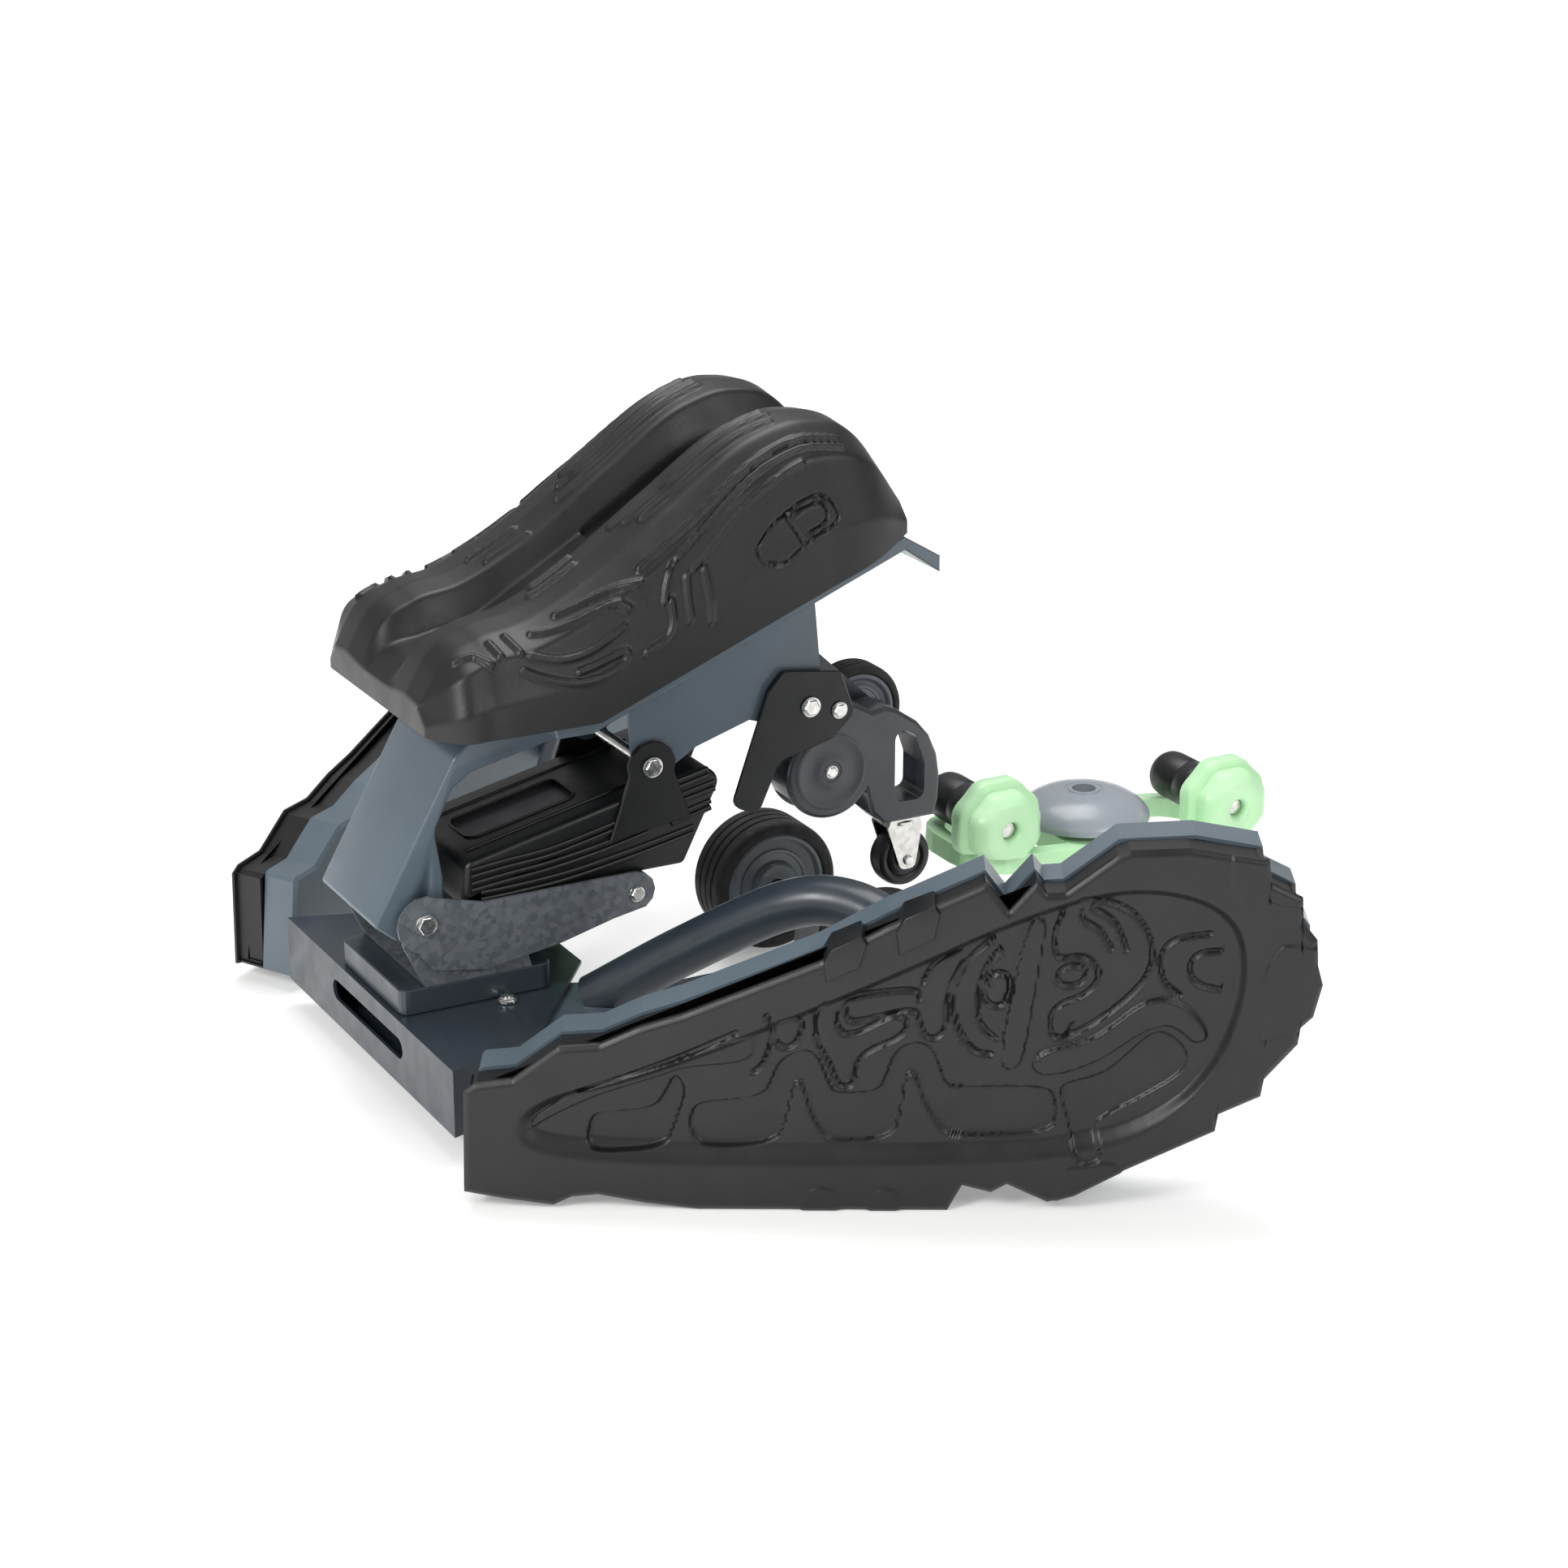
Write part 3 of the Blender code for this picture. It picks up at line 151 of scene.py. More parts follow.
# engraved lines on the cover, in mm
COVER_LINES = [
    [(331, 222), (313, 206), (303, 182), (302, 160), (310, 141), (321, 128), (331, 128)],
    [(337, 214), (326, 199), (320, 179), (320, 160), (326, 147), (334, 141)],
    [(325, 172), (327, 187), (334, 195), (343, 193), (345, 181), (341, 169), (333, 166), (325, 172)],
    [(396, 255), (420, 251), (435, 243), (446, 228), (450, 210), (447, 193), (438, 180), (424, 166),
     (406, 152), (388, 142)],
    [(382, 243), (377, 228), (376, 212), (382, 205), (394, 208), (404, 206), (411, 196), (408, 184),
     (398, 175), (384, 170), (376, 162), (374, 148), (380, 140), (388, 143), (392, 152)],
    [(380, 186), (379, 193), (385, 199), (396, 201), (401, 195), (399, 187), (390, 183), (380, 186)],
    [(396, 243), (398, 236), (411, 230), (419, 214)],
    [(404, 247), (417, 240), (425, 230), (430, 213)],
    [(492, 226), (479, 224), (466, 222), (457, 213), (455, 201), (459, 186), (471, 176)],
    [(500, 212), (485, 211), (478, 204), (478, 192), (486, 184), (500, 181)],
    [(206, 171), (200, 162), (198, 150), (201, 136), (211, 119), (216, 103), (223, 99), (228, 103),
     (230, 120), (240, 131), (262, 140), (269, 151), (266, 158), (258, 160), (225, 141), (216, 149),
     (215, 160)],
    [(221, 166), (222, 158), (227, 154), (236, 155), (276, 166), (278, 150), (284, 140), (292, 141),
     (297, 150), (296, 166), (300, 184), (309, 203)],
    [(279, 185), (284, 197), (296, 208), (306, 213)],
    [(222, 172), (240, 177), (277, 181), (277, 172)],
    [(168, 149), (173, 157), (186, 158), (190, 150), (185, 136), (177, 131), (170, 137), (168, 149)],
    [(163, 162), (167, 148), (166, 136), (160, 118), (153, 112)],
    [(20, 98), (60, 113), (96, 127), (140, 148)],
]
# lugs over the cover's upper rim, in mm
RIM_LUGS = [[(207, 190), (205, 206), (211, 217), (233, 227), (237, 221), (232, 202)],
            [(261, 212), (259, 231), (265, 242), (287, 251), (291, 245), (287, 225)]]
LINE_WIDTH = 3.4
LINE_DEPTH = 3.0
RIM_LEVEL = 1.6                   # the rim lies this far below the raised pads
DISH_DROP = 8.4
EDGE_DROP = 3.0                   # eased edge: depth and width
EDGE_EASE = 5.0
PANEL_EASE = 2.4                  # width of a panel's sloping edge
DEEPEST = 16.0
COVER_COLUMNS = 430
COVER_ROWS = 180
# steps of the cover's edge behind its face, in metres: (inset, depth)
COVER_EDGE = [(0.0, 0.0070), (0.0035, 0.0082), (0.0035, COVER_DEPTH - 0.001),
              (0.0070, COVER_DEPTH - 0.001), (0.0070, 0.018)]

# hull cross-sections: (x, half width, height of the lobes, height of the channel)
HULL_STATIONS = [(-0.358, 0.100, 0.350, 0.346), (-0.343, 0.124, 0.376, 0.360), (-0.310, 0.131, 0.397, 0.368),
                 (-0.270, 0.132, 0.405, 0.376), (-0.215, 0.132, 0.431, 0.406), (-0.140, 0.132, 0.482, 0.450),
                 (-0.063, 0.132, 0.530, 0.492), (-0.020, 0.132, 0.538, 0.500), (0.030, 0.130, 0.517, 0.482),
                 (0.062, 0.116, 0.468, 0.452)]
# raised lines on each lobe, in mm: (x, distance over the surface from the channel's middle)
HULL_RIDGES = [
    [(-177, 127), (-140, 131), (-99, 132), (-36, 127), (2, 131)],
    [(-155, 147), (-100, 141), (-31, 136), (4, 140)],
    [(-138, 165), (-90, 156), (-37, 150)],
    [(-174, 62), (-120, 66), (-41, 74)],
    [(-167, 76), (-110, 80), (-41, 88)],
    [(-158, 90), (-105, 94), (-45, 101)],
    [(-153, 146), (-160, 156), (-163, 168)],
    [(-143, 165), (-144, 184), (-143, 200)],
    [(-128, 172), (-126, 196), (-125, 216)],
    [(-158, 172), (-157, 188), (-163, 197), (-183, 190)],
    [(-245, 112), (-204, 119), (-180, 138)],
    [(-268, 118), (-254, 125), (-204, 131), (-192, 148)],
    [(-276, 138), (-245, 155), (-198, 157)],
    [(-284, 148), (-241, 176), (-200, 184), (-197, 178), (-204, 172), (-239, 166)],
    [(-331, 108), (-317, 117)],
    [(-315, 121), (-308, 136)],
    [(-302, 114), (-299, 132)],
    [(-288, 112), (-283, 134)],
    [(-250, 72), (-210, 69)],
    [(-241, 54), (-206, 50)],
]
# engraved lines: the badge and its window
HULL_LINES = [
    [(-83, 190), (-30, 176), (-16, 180), (-8, 192), (-12, 202), (-39, 213), (-62, 223), (-79, 208),
     (-83, 190)],
    [(-55, 184), (-42, 211)],
    [(-50, 187), (-25, 182), (-17, 190), (-21, 200), (-38, 206)],
]
# the recess in the hull's channel
POCKET_DEPTH = 0.010
POCKET_X = (-0.168, -0.045)
POCKET_HALF = 0.020


# ---- outlines ----
def arc(centre, radius, start, end, steps):
    """Points on an arc, angles in degrees."""
    angles = np.radians(np.linspace(start, end, steps + 1))
    return [(centre[0] + radius * cos(a), centre[1] + radius * sin(a)) for a in angles]


def rounded(corners, steps=6):
    """A closed outline from (a, b, radius) corners, each corner rounded by its radius."""
    points = []
    count = len(corners)
    for i, (a, b, radius) in enumerate(corners):
        corner = np.array((a, b))
        before = np.array(corners[i - 1][:2]) - corner
        after = np.array(corners[(i + 1) % count][:2]) - corner
        before /= np.linalg.norm(before)
        after /= np.linalg.norm(after)
        half = np.arccos(np.clip(before @ after, -1, 1)) / 2
        middle = before + after
        if radius == 0 or np.linalg.norm(middle) < 1e-6:
            points.append((a, b))
            continue
        centre = corner + middle / np.linalg.norm(middle) * radius / sin(half)
        start = corner + before * radius / np.tan(half) - centre
        end = corner + after * radius / np.tan(half) - centre
        first = atan2(start[1], start[0])
        turn = atan2(start[0] * end[1] - start[1] * end[0], start @ end)
        points += [(float(centre[0] + radius * cos(first + turn * k / steps)),
                    float(centre[1] + radius * sin(first + turn * k / steps))) for k in range(steps + 1)]
    return points


def offset(points, distance):
    """The outline moved inwards by distance, corner by corner."""
    area = sum(p[0] * q[1] - q[0] * p[1] for p, q in zip(points, points[1:] + points[:1]))
    turn = 1 if area > 0 else -1
    moved = []
    for i, point in enumerate(points):
        here = Vector(point)
        before = (here - Vector(points[i - 1])).normalized()
        after = (Vector(points[(i + 1) % len(points)]) - here).normalized()
        inward_a = Vector((-before.y, before.x)) * turn
        inward_b = Vector((-after.y, after.x)) * turn
        spot = here + (inward_a + inward_b) * distance / (1 + max(inward_a.dot(inward_b), -0.5))
        moved.append((spot.x, spot.y))
    return moved


def eased(points, closed, passes=2):
    """Chaikin corner cutting: rounds the corners of a path."""
    path = np.array(points, float)
    for _ in range(passes):
        following = np.roll(path, -1, axis=0) if closed else path[1:]
        starts = path if closed else path[:-1]
        cut = np.empty((2 * len(starts), 2))
        cut[0::2] = 0.75 * starts + 0.25 * following
        cut[1::2] = 0.25 * starts + 0.75 * following
        path = cut if closed else np.vstack([path[:1], cut, path[-1:]])
    return path


def path_distance(a, b, path, closed):
    """Distance of each point (a, b) to a path."""
    ends = np.roll(path, -1, axis=0) if closed else path[1:]
    starts = path if closed else path[:-1]
    best = np.full(a.shape, 1e9)
    for start, end in zip(starts, ends):
        along = end - start
        span = max(along @ along, 1e-12)
        t = np.clip(((a - start[0]) * along[0] + (b - start[1]) * along[1]) / span, 0, 1)
        gap = np.hypot(a - start[0] - t * along[0], b - start[1] - t * along[1])
        best = np.minimum(best, gap)
    return best


def is_inside(a, b, path):
    """Whether each point (a, b) is inside a closed path."""
    inside = np.zeros(a.shape, bool)
    for start, end in zip(path, np.roll(path, -1, axis=0)):
        if start[1] == end[1]:
            continue
        crosses = (start[1] > b) != (end[1] > b)
        at = start[0] + (b - start[1]) * (end[0] - start[0]) / (end[1] - start[1])
        inside ^= crosses & (a < at)
    return inside


def signed(a, b, path):
    """Distance to a closed path, positive inside it."""
    return np.where(is_inside(a, b, path), 1, -1) * path_distance(a, b, path, True)


def smooth_step(value):
    t = np.clip(value, 0, 1)
    return t * t * (3 - 2 * t)


# ---- places ----
def flat_xz(a, b, c):
    return Vector((a, c, b))


def leg_place(side):
    """Maps (along the leg, height, inboard depth) of one leg to the model's frame."""
    def place(along, height, inboard):
        x = LEG_FRONT[0] + along * cos(LEG_ANGLE) + inboard * sin(LEG_ANGLE)
        y = LEG_FRONT[1] + along * sin(LEG_ANGLE) - inboard * cos(LEG_ANGLE)
        return Vector((x, side * y, height))
    return place


# ---- solids, each added to a bmesh ----
def add_rings(mesh, rings, closed=False):
    """Joins rings of points into one closed skin."""
    loops = [[mesh.verts.new(p) for p in ring] for ring in rings]
    pairs = list(zip(loops, loops[1:]))
    if closed:
        pairs.append((loops[-1], loops[0]))
    for low, high in pairs:
        for i in range(len(low)):
            j = (i + 1) % len(low)
            mesh.faces.new((low[i], low[j], high[j], high[i]))
    if not closed:
        mesh.faces.new(loops[0])
        mesh.faces.new(loops[-1])
    return mesh


def add_prism(mesh, outline, low, high, place, bevel=0.0, steps=3):
    """An extruded outline whose rims are rounded by bevel."""
    rings = []
    if bevel:
        for k in range(steps + 1):
            angle = 0.5 * pi * k / steps
            ring = offset(outline, bevel * (1 - sin(angle)))
            rings.append((ring, low + bevel * (1 - cos(angle))))
        rings += [(ring, low + high - level) for ring, level in reversed(rings)]
    else:
        rings = [(outline, low), (outline, high)]
    return add_rings(mesh, [[place(a, b, level) for a, b in ring] for ring, level in rings])


def add_turned(mesh, profile, centre, axis="y", sides=ROUND, closed=False):
    """A solid turned from (radius, level) points about an axis through centre."""
    rings = []
    for radius, level in profile:
        ring = []
        for i in range(sides):
            angle = 2 * pi * i / sides
            a = radius * cos(angle)
            b = radius * sin(angle)
            local = {"x": (level, a, b), "y": (a, level, b), "z": (a, b, level)}[axis]
            ring.append(Vector(centre) + Vector(local))
        rings.append(ring)
    return add_rings(mesh, rings, closed)


def add_pipe(mesh, points, radius, sides=32):
    """A round bar along a list of points."""
    rings = []
    for i, point in enumerate(points):
        ahead = points[min(i + 1, len(points) - 1)]
        behind = points[max(i - 1, 0)]
        direction = (ahead - behind).normalized()
        side = direction.cross(Vector((0, 0, 1))).normalized()
        up = side.cross(direction)
        rings.append([point + radius * (side * cos(2 * pi * k / sides) + up * sin(2 * pi * k / sides))
                      for k in range(sides)])
    return add_rings(mesh, rings)


def add_hex(mesh, radius, low, high, centre, axis="y", chamfer=0.0008):
    """A hexagon head or nut, its corners eased by a chamfer."""
    profile = [(radius - chamfer, low), (radius, low + chamfer), (radius, high - chamfer),
               (radius - chamfer, high)]
    return add_turned(mesh, profile, centre, axis, 6)


def smooth_path(points, steps=12):
    """A Catmull-Rom curve through the points."""
    spots = [Vector(p) for p in points]
    padded = [2 * spots[0] - spots[1]] + spots + [2 * spots[-1] - spots[-2]]
    path = []
    for a, b, c, d in zip(padded, padded[1:], padded[2:], padded[3:]):
        for k in range(steps):
            t = k / steps
            path.append(0.5 * (2 * b + (c - a) * t + (2 * a - 5 * b + 4 * c - d) * t ** 2
                               + (3 * b - a - 3 * c + d) * t ** 3))
    path.append(spots[-1])
    return path


# ---- materials ----
FINISHES = {}


class Recipe:
    """A material under construction: its node tree, its shader and the object coordinates."""

    def __init__(self, name, roughness, metallic=0.0):
        self.material = bpy.data.materials.new(name)
        self.material.use_nodes = True
        self.tree = self.material.node_tree
        self.shader = self.tree.nodes["Principled BSDF"]
        self.set("Roughness", roughness)
        self.set("Metallic", metallic)
        self.where = self.tree.nodes.new("ShaderNodeTexCoord").outputs["Object"]
        FINISHES[name] = self.material

    def set(self, socket, value):
        self.shader.inputs[socket].default_value = value

    def link(self, source, target):
        self.tree.links.new(source, target)

    def noise(self, scale, detail=3.0, stretch=None):
        node = self.tree.nodes.new("ShaderNodeTexNoise")
        node.inputs["Scale"].default_value = scale
        node.inputs["Detail"].default_value = detail
        self.link(self.stretched(stretch), node.inputs["Vector"])
        return node.outputs["Fac"]

    def cells(self, scale, feature="F1", output="Distance"):
        node = self.tree.nodes.new("ShaderNodeTexVoronoi")
        node.feature = feature
        node.inputs["Scale"].default_value = scale
        self.link(self.where, node.inputs["Vector"])
        return node.outputs[output]

    def stretched(self, stretch):
        if stretch is None:
            return self.where
        node = self.tree.nodes.new("ShaderNodeMapping")
        node.inputs["Scale"].default_value = stretch
        self.link(self.where, node.inputs["Vector"])
        return node.outputs["Vector"]

    def ramp(self, source, stops):
        """Colours along a value: stops are (place, colour or grey)."""
        node = self.tree.nodes.new("ShaderNodeValToRGB")
        slots = node.color_ramp.elements
        while len(slots) < len(stops):
            slots.new(0.5)
        for slot, (place, colour) in zip(slots, stops):
            slot.position = place
            slot.color = (*colour, 1.0) if hasattr(colour, "__len__") else (colour, colour, colour, 1.0)
        self.link(source, node.inputs["Fac"])
        return node.outputs["Color"]

    def bump(self, source, strength, distance, below=None):
        node = self.tree.nodes.new("ShaderNodeBump")
        node.inputs["Strength"].default_value = strength
        node.inputs["Distance"].default_value = distance
        self.link(source, node.inputs["Height"])
        if below is not None:
            self.link(below, node.inputs["Normal"])
        self.link(node.outputs["Normal"], self.shader.inputs["Normal"])
        return node.outputs["Normal"]

    def colour(self, source):
        self.link(source, self.shader.inputs["Base Color"])

    def roughness(self, source):
        self.link(source, self.shader.inputs["Roughness"])


def shade(colour, factor):
    return tuple(c * factor for c in colour)


def make_moulding(name, colour, grain=0.25):
    """Fine-grained satin moulding with faint handling marks."""
    recipe = Recipe(name, 0.48)
    recipe.colour(recipe.ramp(recipe.noise(9, 5), [(0.35, shade(colour, 0.85)), (0.65, shade(colour, 1.18))]))
    recipe.roughness(recipe.ramp(recipe.noise(30, 6), [(0.3, 0.34), (0.7, 0.46)]))
    fine = recipe.bump(recipe.noise(1500, 2), grain, 0.0004)
    recipe.bump(recipe.noise(60, 4), 0.12, 0.0006, fine)


def make_paint(name, colour, roughness=0.36):
    """Semi-gloss paint: slight orange peel, faint dust and small scuffs."""
    recipe = Recipe(name, roughness)
    recipe.set("Coat Weight", 0.25)
    recipe.set("Coat Roughness", 0.22)
    patches = recipe.noise(5, 6)
    stops = [(0.3, shade(colour, 0.86)), (0.55, colour), (0.75, shade(colour, 1.15))]
    recipe.colour(recipe.ramp(patches, stops))
    recipe.roughness(recipe.ramp(recipe.noise(45, 7), [(0.3, roughness - 0.06), (0.72, roughness + 0.12)]))
    peel = recipe.bump(recipe.noise(420, 2), 0.12, 0.0004)
    recipe.bump(recipe.noise(24, 3), 0.10, 0.0008, peel)


def make_galvanised():
    """Zinc spangle: cells of slightly different grey, streaked and dulled."""
    recipe = Recipe("galvanised", 0.45, 0.55)
    cell = recipe.cells(190, output="Color")
    grey = recipe.ramp(cell, [(0.2, (0.135, 0.150, 0.164)), (0.8, (0.205, 0.222, 0.240))])
    recipe.colour(grey)
    recipe.roughness(recipe.ramp(recipe.noise(70, 6), [(0.3, 0.36), (0.7, 0.58)]))
    spangle = recipe.bump(recipe.cells(190), 0.10, 0.0004)
    recipe.bump(recipe.noise(300, 4), 0.10, 0.0003, spangle)


def make_chrome():
    recipe = Recipe("chrome", 0.2, 1.0)
    recipe.colour(recipe.ramp(recipe.noise(160, 4), [(0.3, (0.55, 0.54, 0.52)), (0.7, (0.78, 0.77, 0.75))]))
    recipe.roughness(recipe.ramp(recipe.noise(260, 5), [(0.35, 0.14), (0.7, 0.34)]))
    recipe.bump(recipe.noise(500, 3), 0.05, 0.0002)


def make_green():
    """Pale green moulding that lets a little light through, deeper in its hollows."""
    recipe = Recipe("green", 0.36)
    recipe.colour(recipe.ramp(recipe.noise(12, 4), [(0.3, (0.47, 0.80, 0.45)), (0.7, (0.60, 0.88, 0.57))]))
    recipe.set("Subsurface Weight", 0.25)
    recipe.set("Subsurface Radius", (0.01, 0.03, 0.01))
    recipe.set("Subsurface Scale", 0.3)
    recipe.roughness(recipe.ramp(recipe.noise(60, 5), [(0.3, 0.30), (0.7, 0.44)]))
    recipe.bump(recipe.noise(900, 2), 0.10, 0.0003)


def make_rubber():
    recipe = Recipe("rubber", 0.72)
    recipe.colour(recipe.ramp(recipe.noise(25, 6), [(0.3, 0.010), (0.7, 0.022)]))
    recipe.roughness(recipe.ramp(recipe.noise(80, 5), [(0.3, 0.62), (0.7, 0.82)]))
    recipe.bump(recipe.noise(1100, 3), 0.30, 0.0004)


def make_materials():
    make_moulding("cover_moulding", (0.0055, 0.0055, 0.006), 0.30)
    make_moulding("hull_moulding", (0.0045, 0.0045, 0.0045), 0.35)
    make_moulding("deep_black", (0.0030, 0.0034, 0.0038), 0.15)
    make_moulding("grey_moulding", (0.055, 0.057, 0.066), 0.22)
    make_paint("slate_paint", (0.024, 0.033, 0.045))
    make_paint("pale_paint", (0.085, 0.115, 0.142), 0.33)
    make_paint("pale_moulding", (0.095, 0.128, 0.156), 0.36)
    make_paint("hood_gloss", (0.030, 0.036, 0.044), 0.22)
    make_paint("hub_grey", (0.120, 0.133, 0.152), 0.30)
    make_paint("dome_grey", (0.30, 0.33, 0.37), 0.26)
    make_galvanised()
    make_chrome()
    make_green()
    make_rubber()


# ---- pieces ----
def add_piece(name, mesh, finish, body, nodes=(), sharp=40):
    """Turns a bmesh in the model's frame into a piece that rides on a body and stands for CAD nodes."""
    bmesh.ops.recalc_face_normals(mesh, faces=mesh.faces)
    bmesh.ops.translate(mesh, verts=mesh.verts, vec=SHIFT)
    data = bpy.data.meshes.new(name)
    mesh.to_mesh(data)
    mesh.free()
    data.shade_smooth()
    data.set_sharp_from_angle(angle=radians(sharp))
    data.materials.append(FINISHES[finish])
    piece = bpy.data.objects.new(name, data)
    bpy.context.scene.collection.objects.link(piece)
    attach(piece, body)
    if nodes:
        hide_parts(*nodes)
    return piece


def soften(node, finish, width=0.0008, segments=3):
    """Gives a CAD node its material and eased edges, its flat facets merged first."""
    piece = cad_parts[node]
    piece.data.materials.clear()
    piece.data.materials.append(FINISHES[finish])
    merge = piece.modifiers.new("merge_flats", "DECIMATE")
    merge.decimate_type = "DISSOLVE"
    merge.angle_limit = radians(1)
    bevel = piece.modifiers.new("eased_edges", "BEVEL")
    bevel.width = width
    bevel.segments = segments
    bevel.limit_method = "ANGLE"
    bevel.angle_limit = radians(25)
    bevel.use_clamp_overlap = True
    return piece


def carve(piece, mesh):
    """Cuts a bmesh, given in the model's frame, out of a finished piece."""
    bmesh.ops.recalc_face_normals(mesh, faces=mesh.faces)
    bmesh.ops.translate(mesh, verts=mesh.verts, vec=SHIFT)
    data = bpy.data.meshes.new("cutter")
    mesh.to_mesh(data)
    mesh.free()
    cutter = bpy.data.objects.new("cutter", data)
    bpy.context.scene.collection.objects.link(cutter)
    boolean = piece.modifiers.new("cut", "BOOLEAN")
    boolean.operation = "DIFFERENCE"
    boolean.object = cutter
    bpy.context.view_layer.update()
    view = bpy.context.evaluated_depsgraph_get()
    result = bpy.data.meshes.new_from_object(piece.evaluated_get(view))
    piece.modifiers.clear()
    piece.data = result
    bpy.data.objects.remove(cutter, do_unlink=True)


# ---- legs ----
def cover_depth(along, height, edge):
    """How far the cover's outer face lies below its highest level, in mm, at points in mm."""
    dish = signed(along, height, eased(DISH_OUTLINE, True, 3))
    ramp = np.interp(height, [40, 95], [24, 9])
    depth = RIM_LEVEL + DISH_DROP * smooth_step(dish / ramp + 0.25)
    depth += EDGE_DROP * (1 - np.clip(edge / EDGE_EASE, 0, 1)) ** 1.5
    for outline, level in COVER_PANELS:
        gap = signed(along, height, eased(outline, True))
        depth += level * smooth_step((gap + PANEL_EASE / 2) / PANEL_EASE)
    for line in COVER_LINES:
        closed = line[0] == line[-1]
        gap = path_distance(along, height, eased(line[:-1] if closed else line, closed), closed)
        depth += LINE_DEPTH * (1 - smooth_step((gap - 0.25 * LINE_WIDTH) / (0.6 * LINE_WIDTH)))
    return np.clip(depth, 0.0, DEEPEST)


def split_chains(outline):
    """The lower and the upper run of a closed outline, both from its left end to its right end."""
    points = np.array(outline, float)
    right = int(points[:, 0].argmax())
    upper = points[:right + 1]
    lower = np.vstack([points[:1], points[:right - 1:-1]])
    return lower, upper


def cover_grid():
    """The cover's outer face: arrays of places along the leg, heights and depths, in mm."""
    corners = np.array(COVER_OUTLINE, float)
    lower, upper = split_chains(COVER_OUTLINE)
    left, right = upper[0, 0], upper[-1, 0]
    swing = np.linspace(0, pi, COVER_COLUMNS)
    along = np.unique(np.concatenate([left + (right - left) * (1 - np.cos(swing)) / 2, corners[:, 0]]))
    along = along[(along > left + 0.1) & (along < right - 0.1)]
    low = np.interp(along, lower[:, 0], lower[:, 1])
    high = np.interp(along, upper[:, 0], upper[:, 1])
    a = np.repeat(along[:, None], COVER_ROWS, axis=1)
    b = low[:, None] + (high - low)[:, None] * np.linspace(0, 1, COVER_ROWS)[None, :]
    return a, b, cover_depth(a, b, path_distance(a, b, corners, True))


def rim_places(columns, rows):
    """The grid's edge places, once round."""
    places = [(i, 0) for i in range(columns)] + [(columns - 1, j) for j in range(1, rows)]
    places += [(i, rows - 1) for i in range(columns - 2, -1, -1)]
    return places + [(0, j) for j in range(rows - 2, 0, -1)]


def make_cover(word, side):
    """The track-shaped cover: a relief grid, an eased rim, a gutter behind the rim and a hollow back."""
    a, b, depth = cover_grid()
    columns, rows = a.shape
    place = leg_place(side)
    mesh = bmesh.new()
    grid = [[mesh.verts.new(place(MM * a[i, j], MM * b[i, j], MM * depth[i, j])) for j in range(rows)]
            for i in range(columns)]
    for i in range(columns - 1):
        for j in range(rows - 1):
            mesh.faces.new((grid[i][j], grid[i + 1][j], grid[i + 1][j + 1], grid[i][j + 1]))
    rim = rim_places(columns, rows)
    outline = [(MM * a[i, j], MM * b[i, j]) for i, j in rim]
    rings = [[grid[i][j] for i, j in rim]]
    for inset, level in COVER_EDGE:
        rings.append([mesh.verts.new(place(p, q, level)) for p, q in moved_in(outline, inset)])
    for near, far in zip(rings, rings[1:]):
        for i in range(len(near)):
            j = (i + 1) % len(near)
            mesh.faces.new((near[i], near[j], far[j], far[i]))
    mesh.faces.new(rings[-1])
    for lug in RIM_LUGS:
        add_prism(mesh, [(MM * p, MM * q) for p, q in lug], -0.0022, 0.033, place, 0.0018)
    add_piece(word + "_cover_skin", mesh, "cover_moulding", word + "_leg", [word + "_track_cover"], 50)


def moved_in(outline, distance):
    """A dense outline moved inwards along smoothed normals, so that close points don't cross."""
    points = np.array(outline)
    reach = 6                     # how many points either side set the direction
    along = np.roll(points, -reach, axis=0) - np.roll(points, reach, axis=0)
    along /= np.maximum(np.linalg.norm(along, axis=1, keepdims=True), 1e-9)
    normal = np.stack([-along[:, 1], along[:, 0]], axis=1)
    return [tuple(p) for p in points + normal * distance]


def make_leg_tube(word, side):
    body = word + "_leg"
    path = smooth_path([(x, -side * y, z) for x, y, z in TUBE_ROUTE])
    tube = add_piece(word + "_tube_skin", add_pipe(bmesh.new(), path, TUBE_R - 0.0002, 48), "slate_paint",
                     body, [word + "_side_tube"])
    beyond = [(0.1, 0.0), (0.6, 0.0), (0.6, 0.3), (0.1, 0.3)]
    depth = COVER_DEPTH + SHELL_DEPTH - 0.001
    carve(tube, add_prism(bmesh.new(), beyond, 0.0, depth, leg_place(side)))
    soften(word + "_inner_shell", "pale_moulding", 0.0022)
    soften(word + "_leg_socket", "pale_paint", 0.0012)


# ---- hull ----
def deck_line(x):
    """Height of the hull's underside."""
    return 0.325 + 0.3946 * max(0.0, x + 0.222)


def curve_through(value, places, heights):
    """Catmull-Rom interpolation of heights over places."""
    slopes = np.gradient(heights, places)
    i = np.clip(np.searchsorted(places, value) - 1, 0, len(places) - 2)
    span = places[i + 1] - places[i]
    t = (value - places[i]) / span
    return ((2 * t ** 3 - 3 * t ** 2 + 1) * heights[i] + (t ** 3 - 2 * t ** 2 + t) * span * slopes[i]
            + (3 * t ** 2 - 2 * t ** 3) * heights[i + 1] + (t ** 3 - t ** 2) * span * slopes[i + 1])


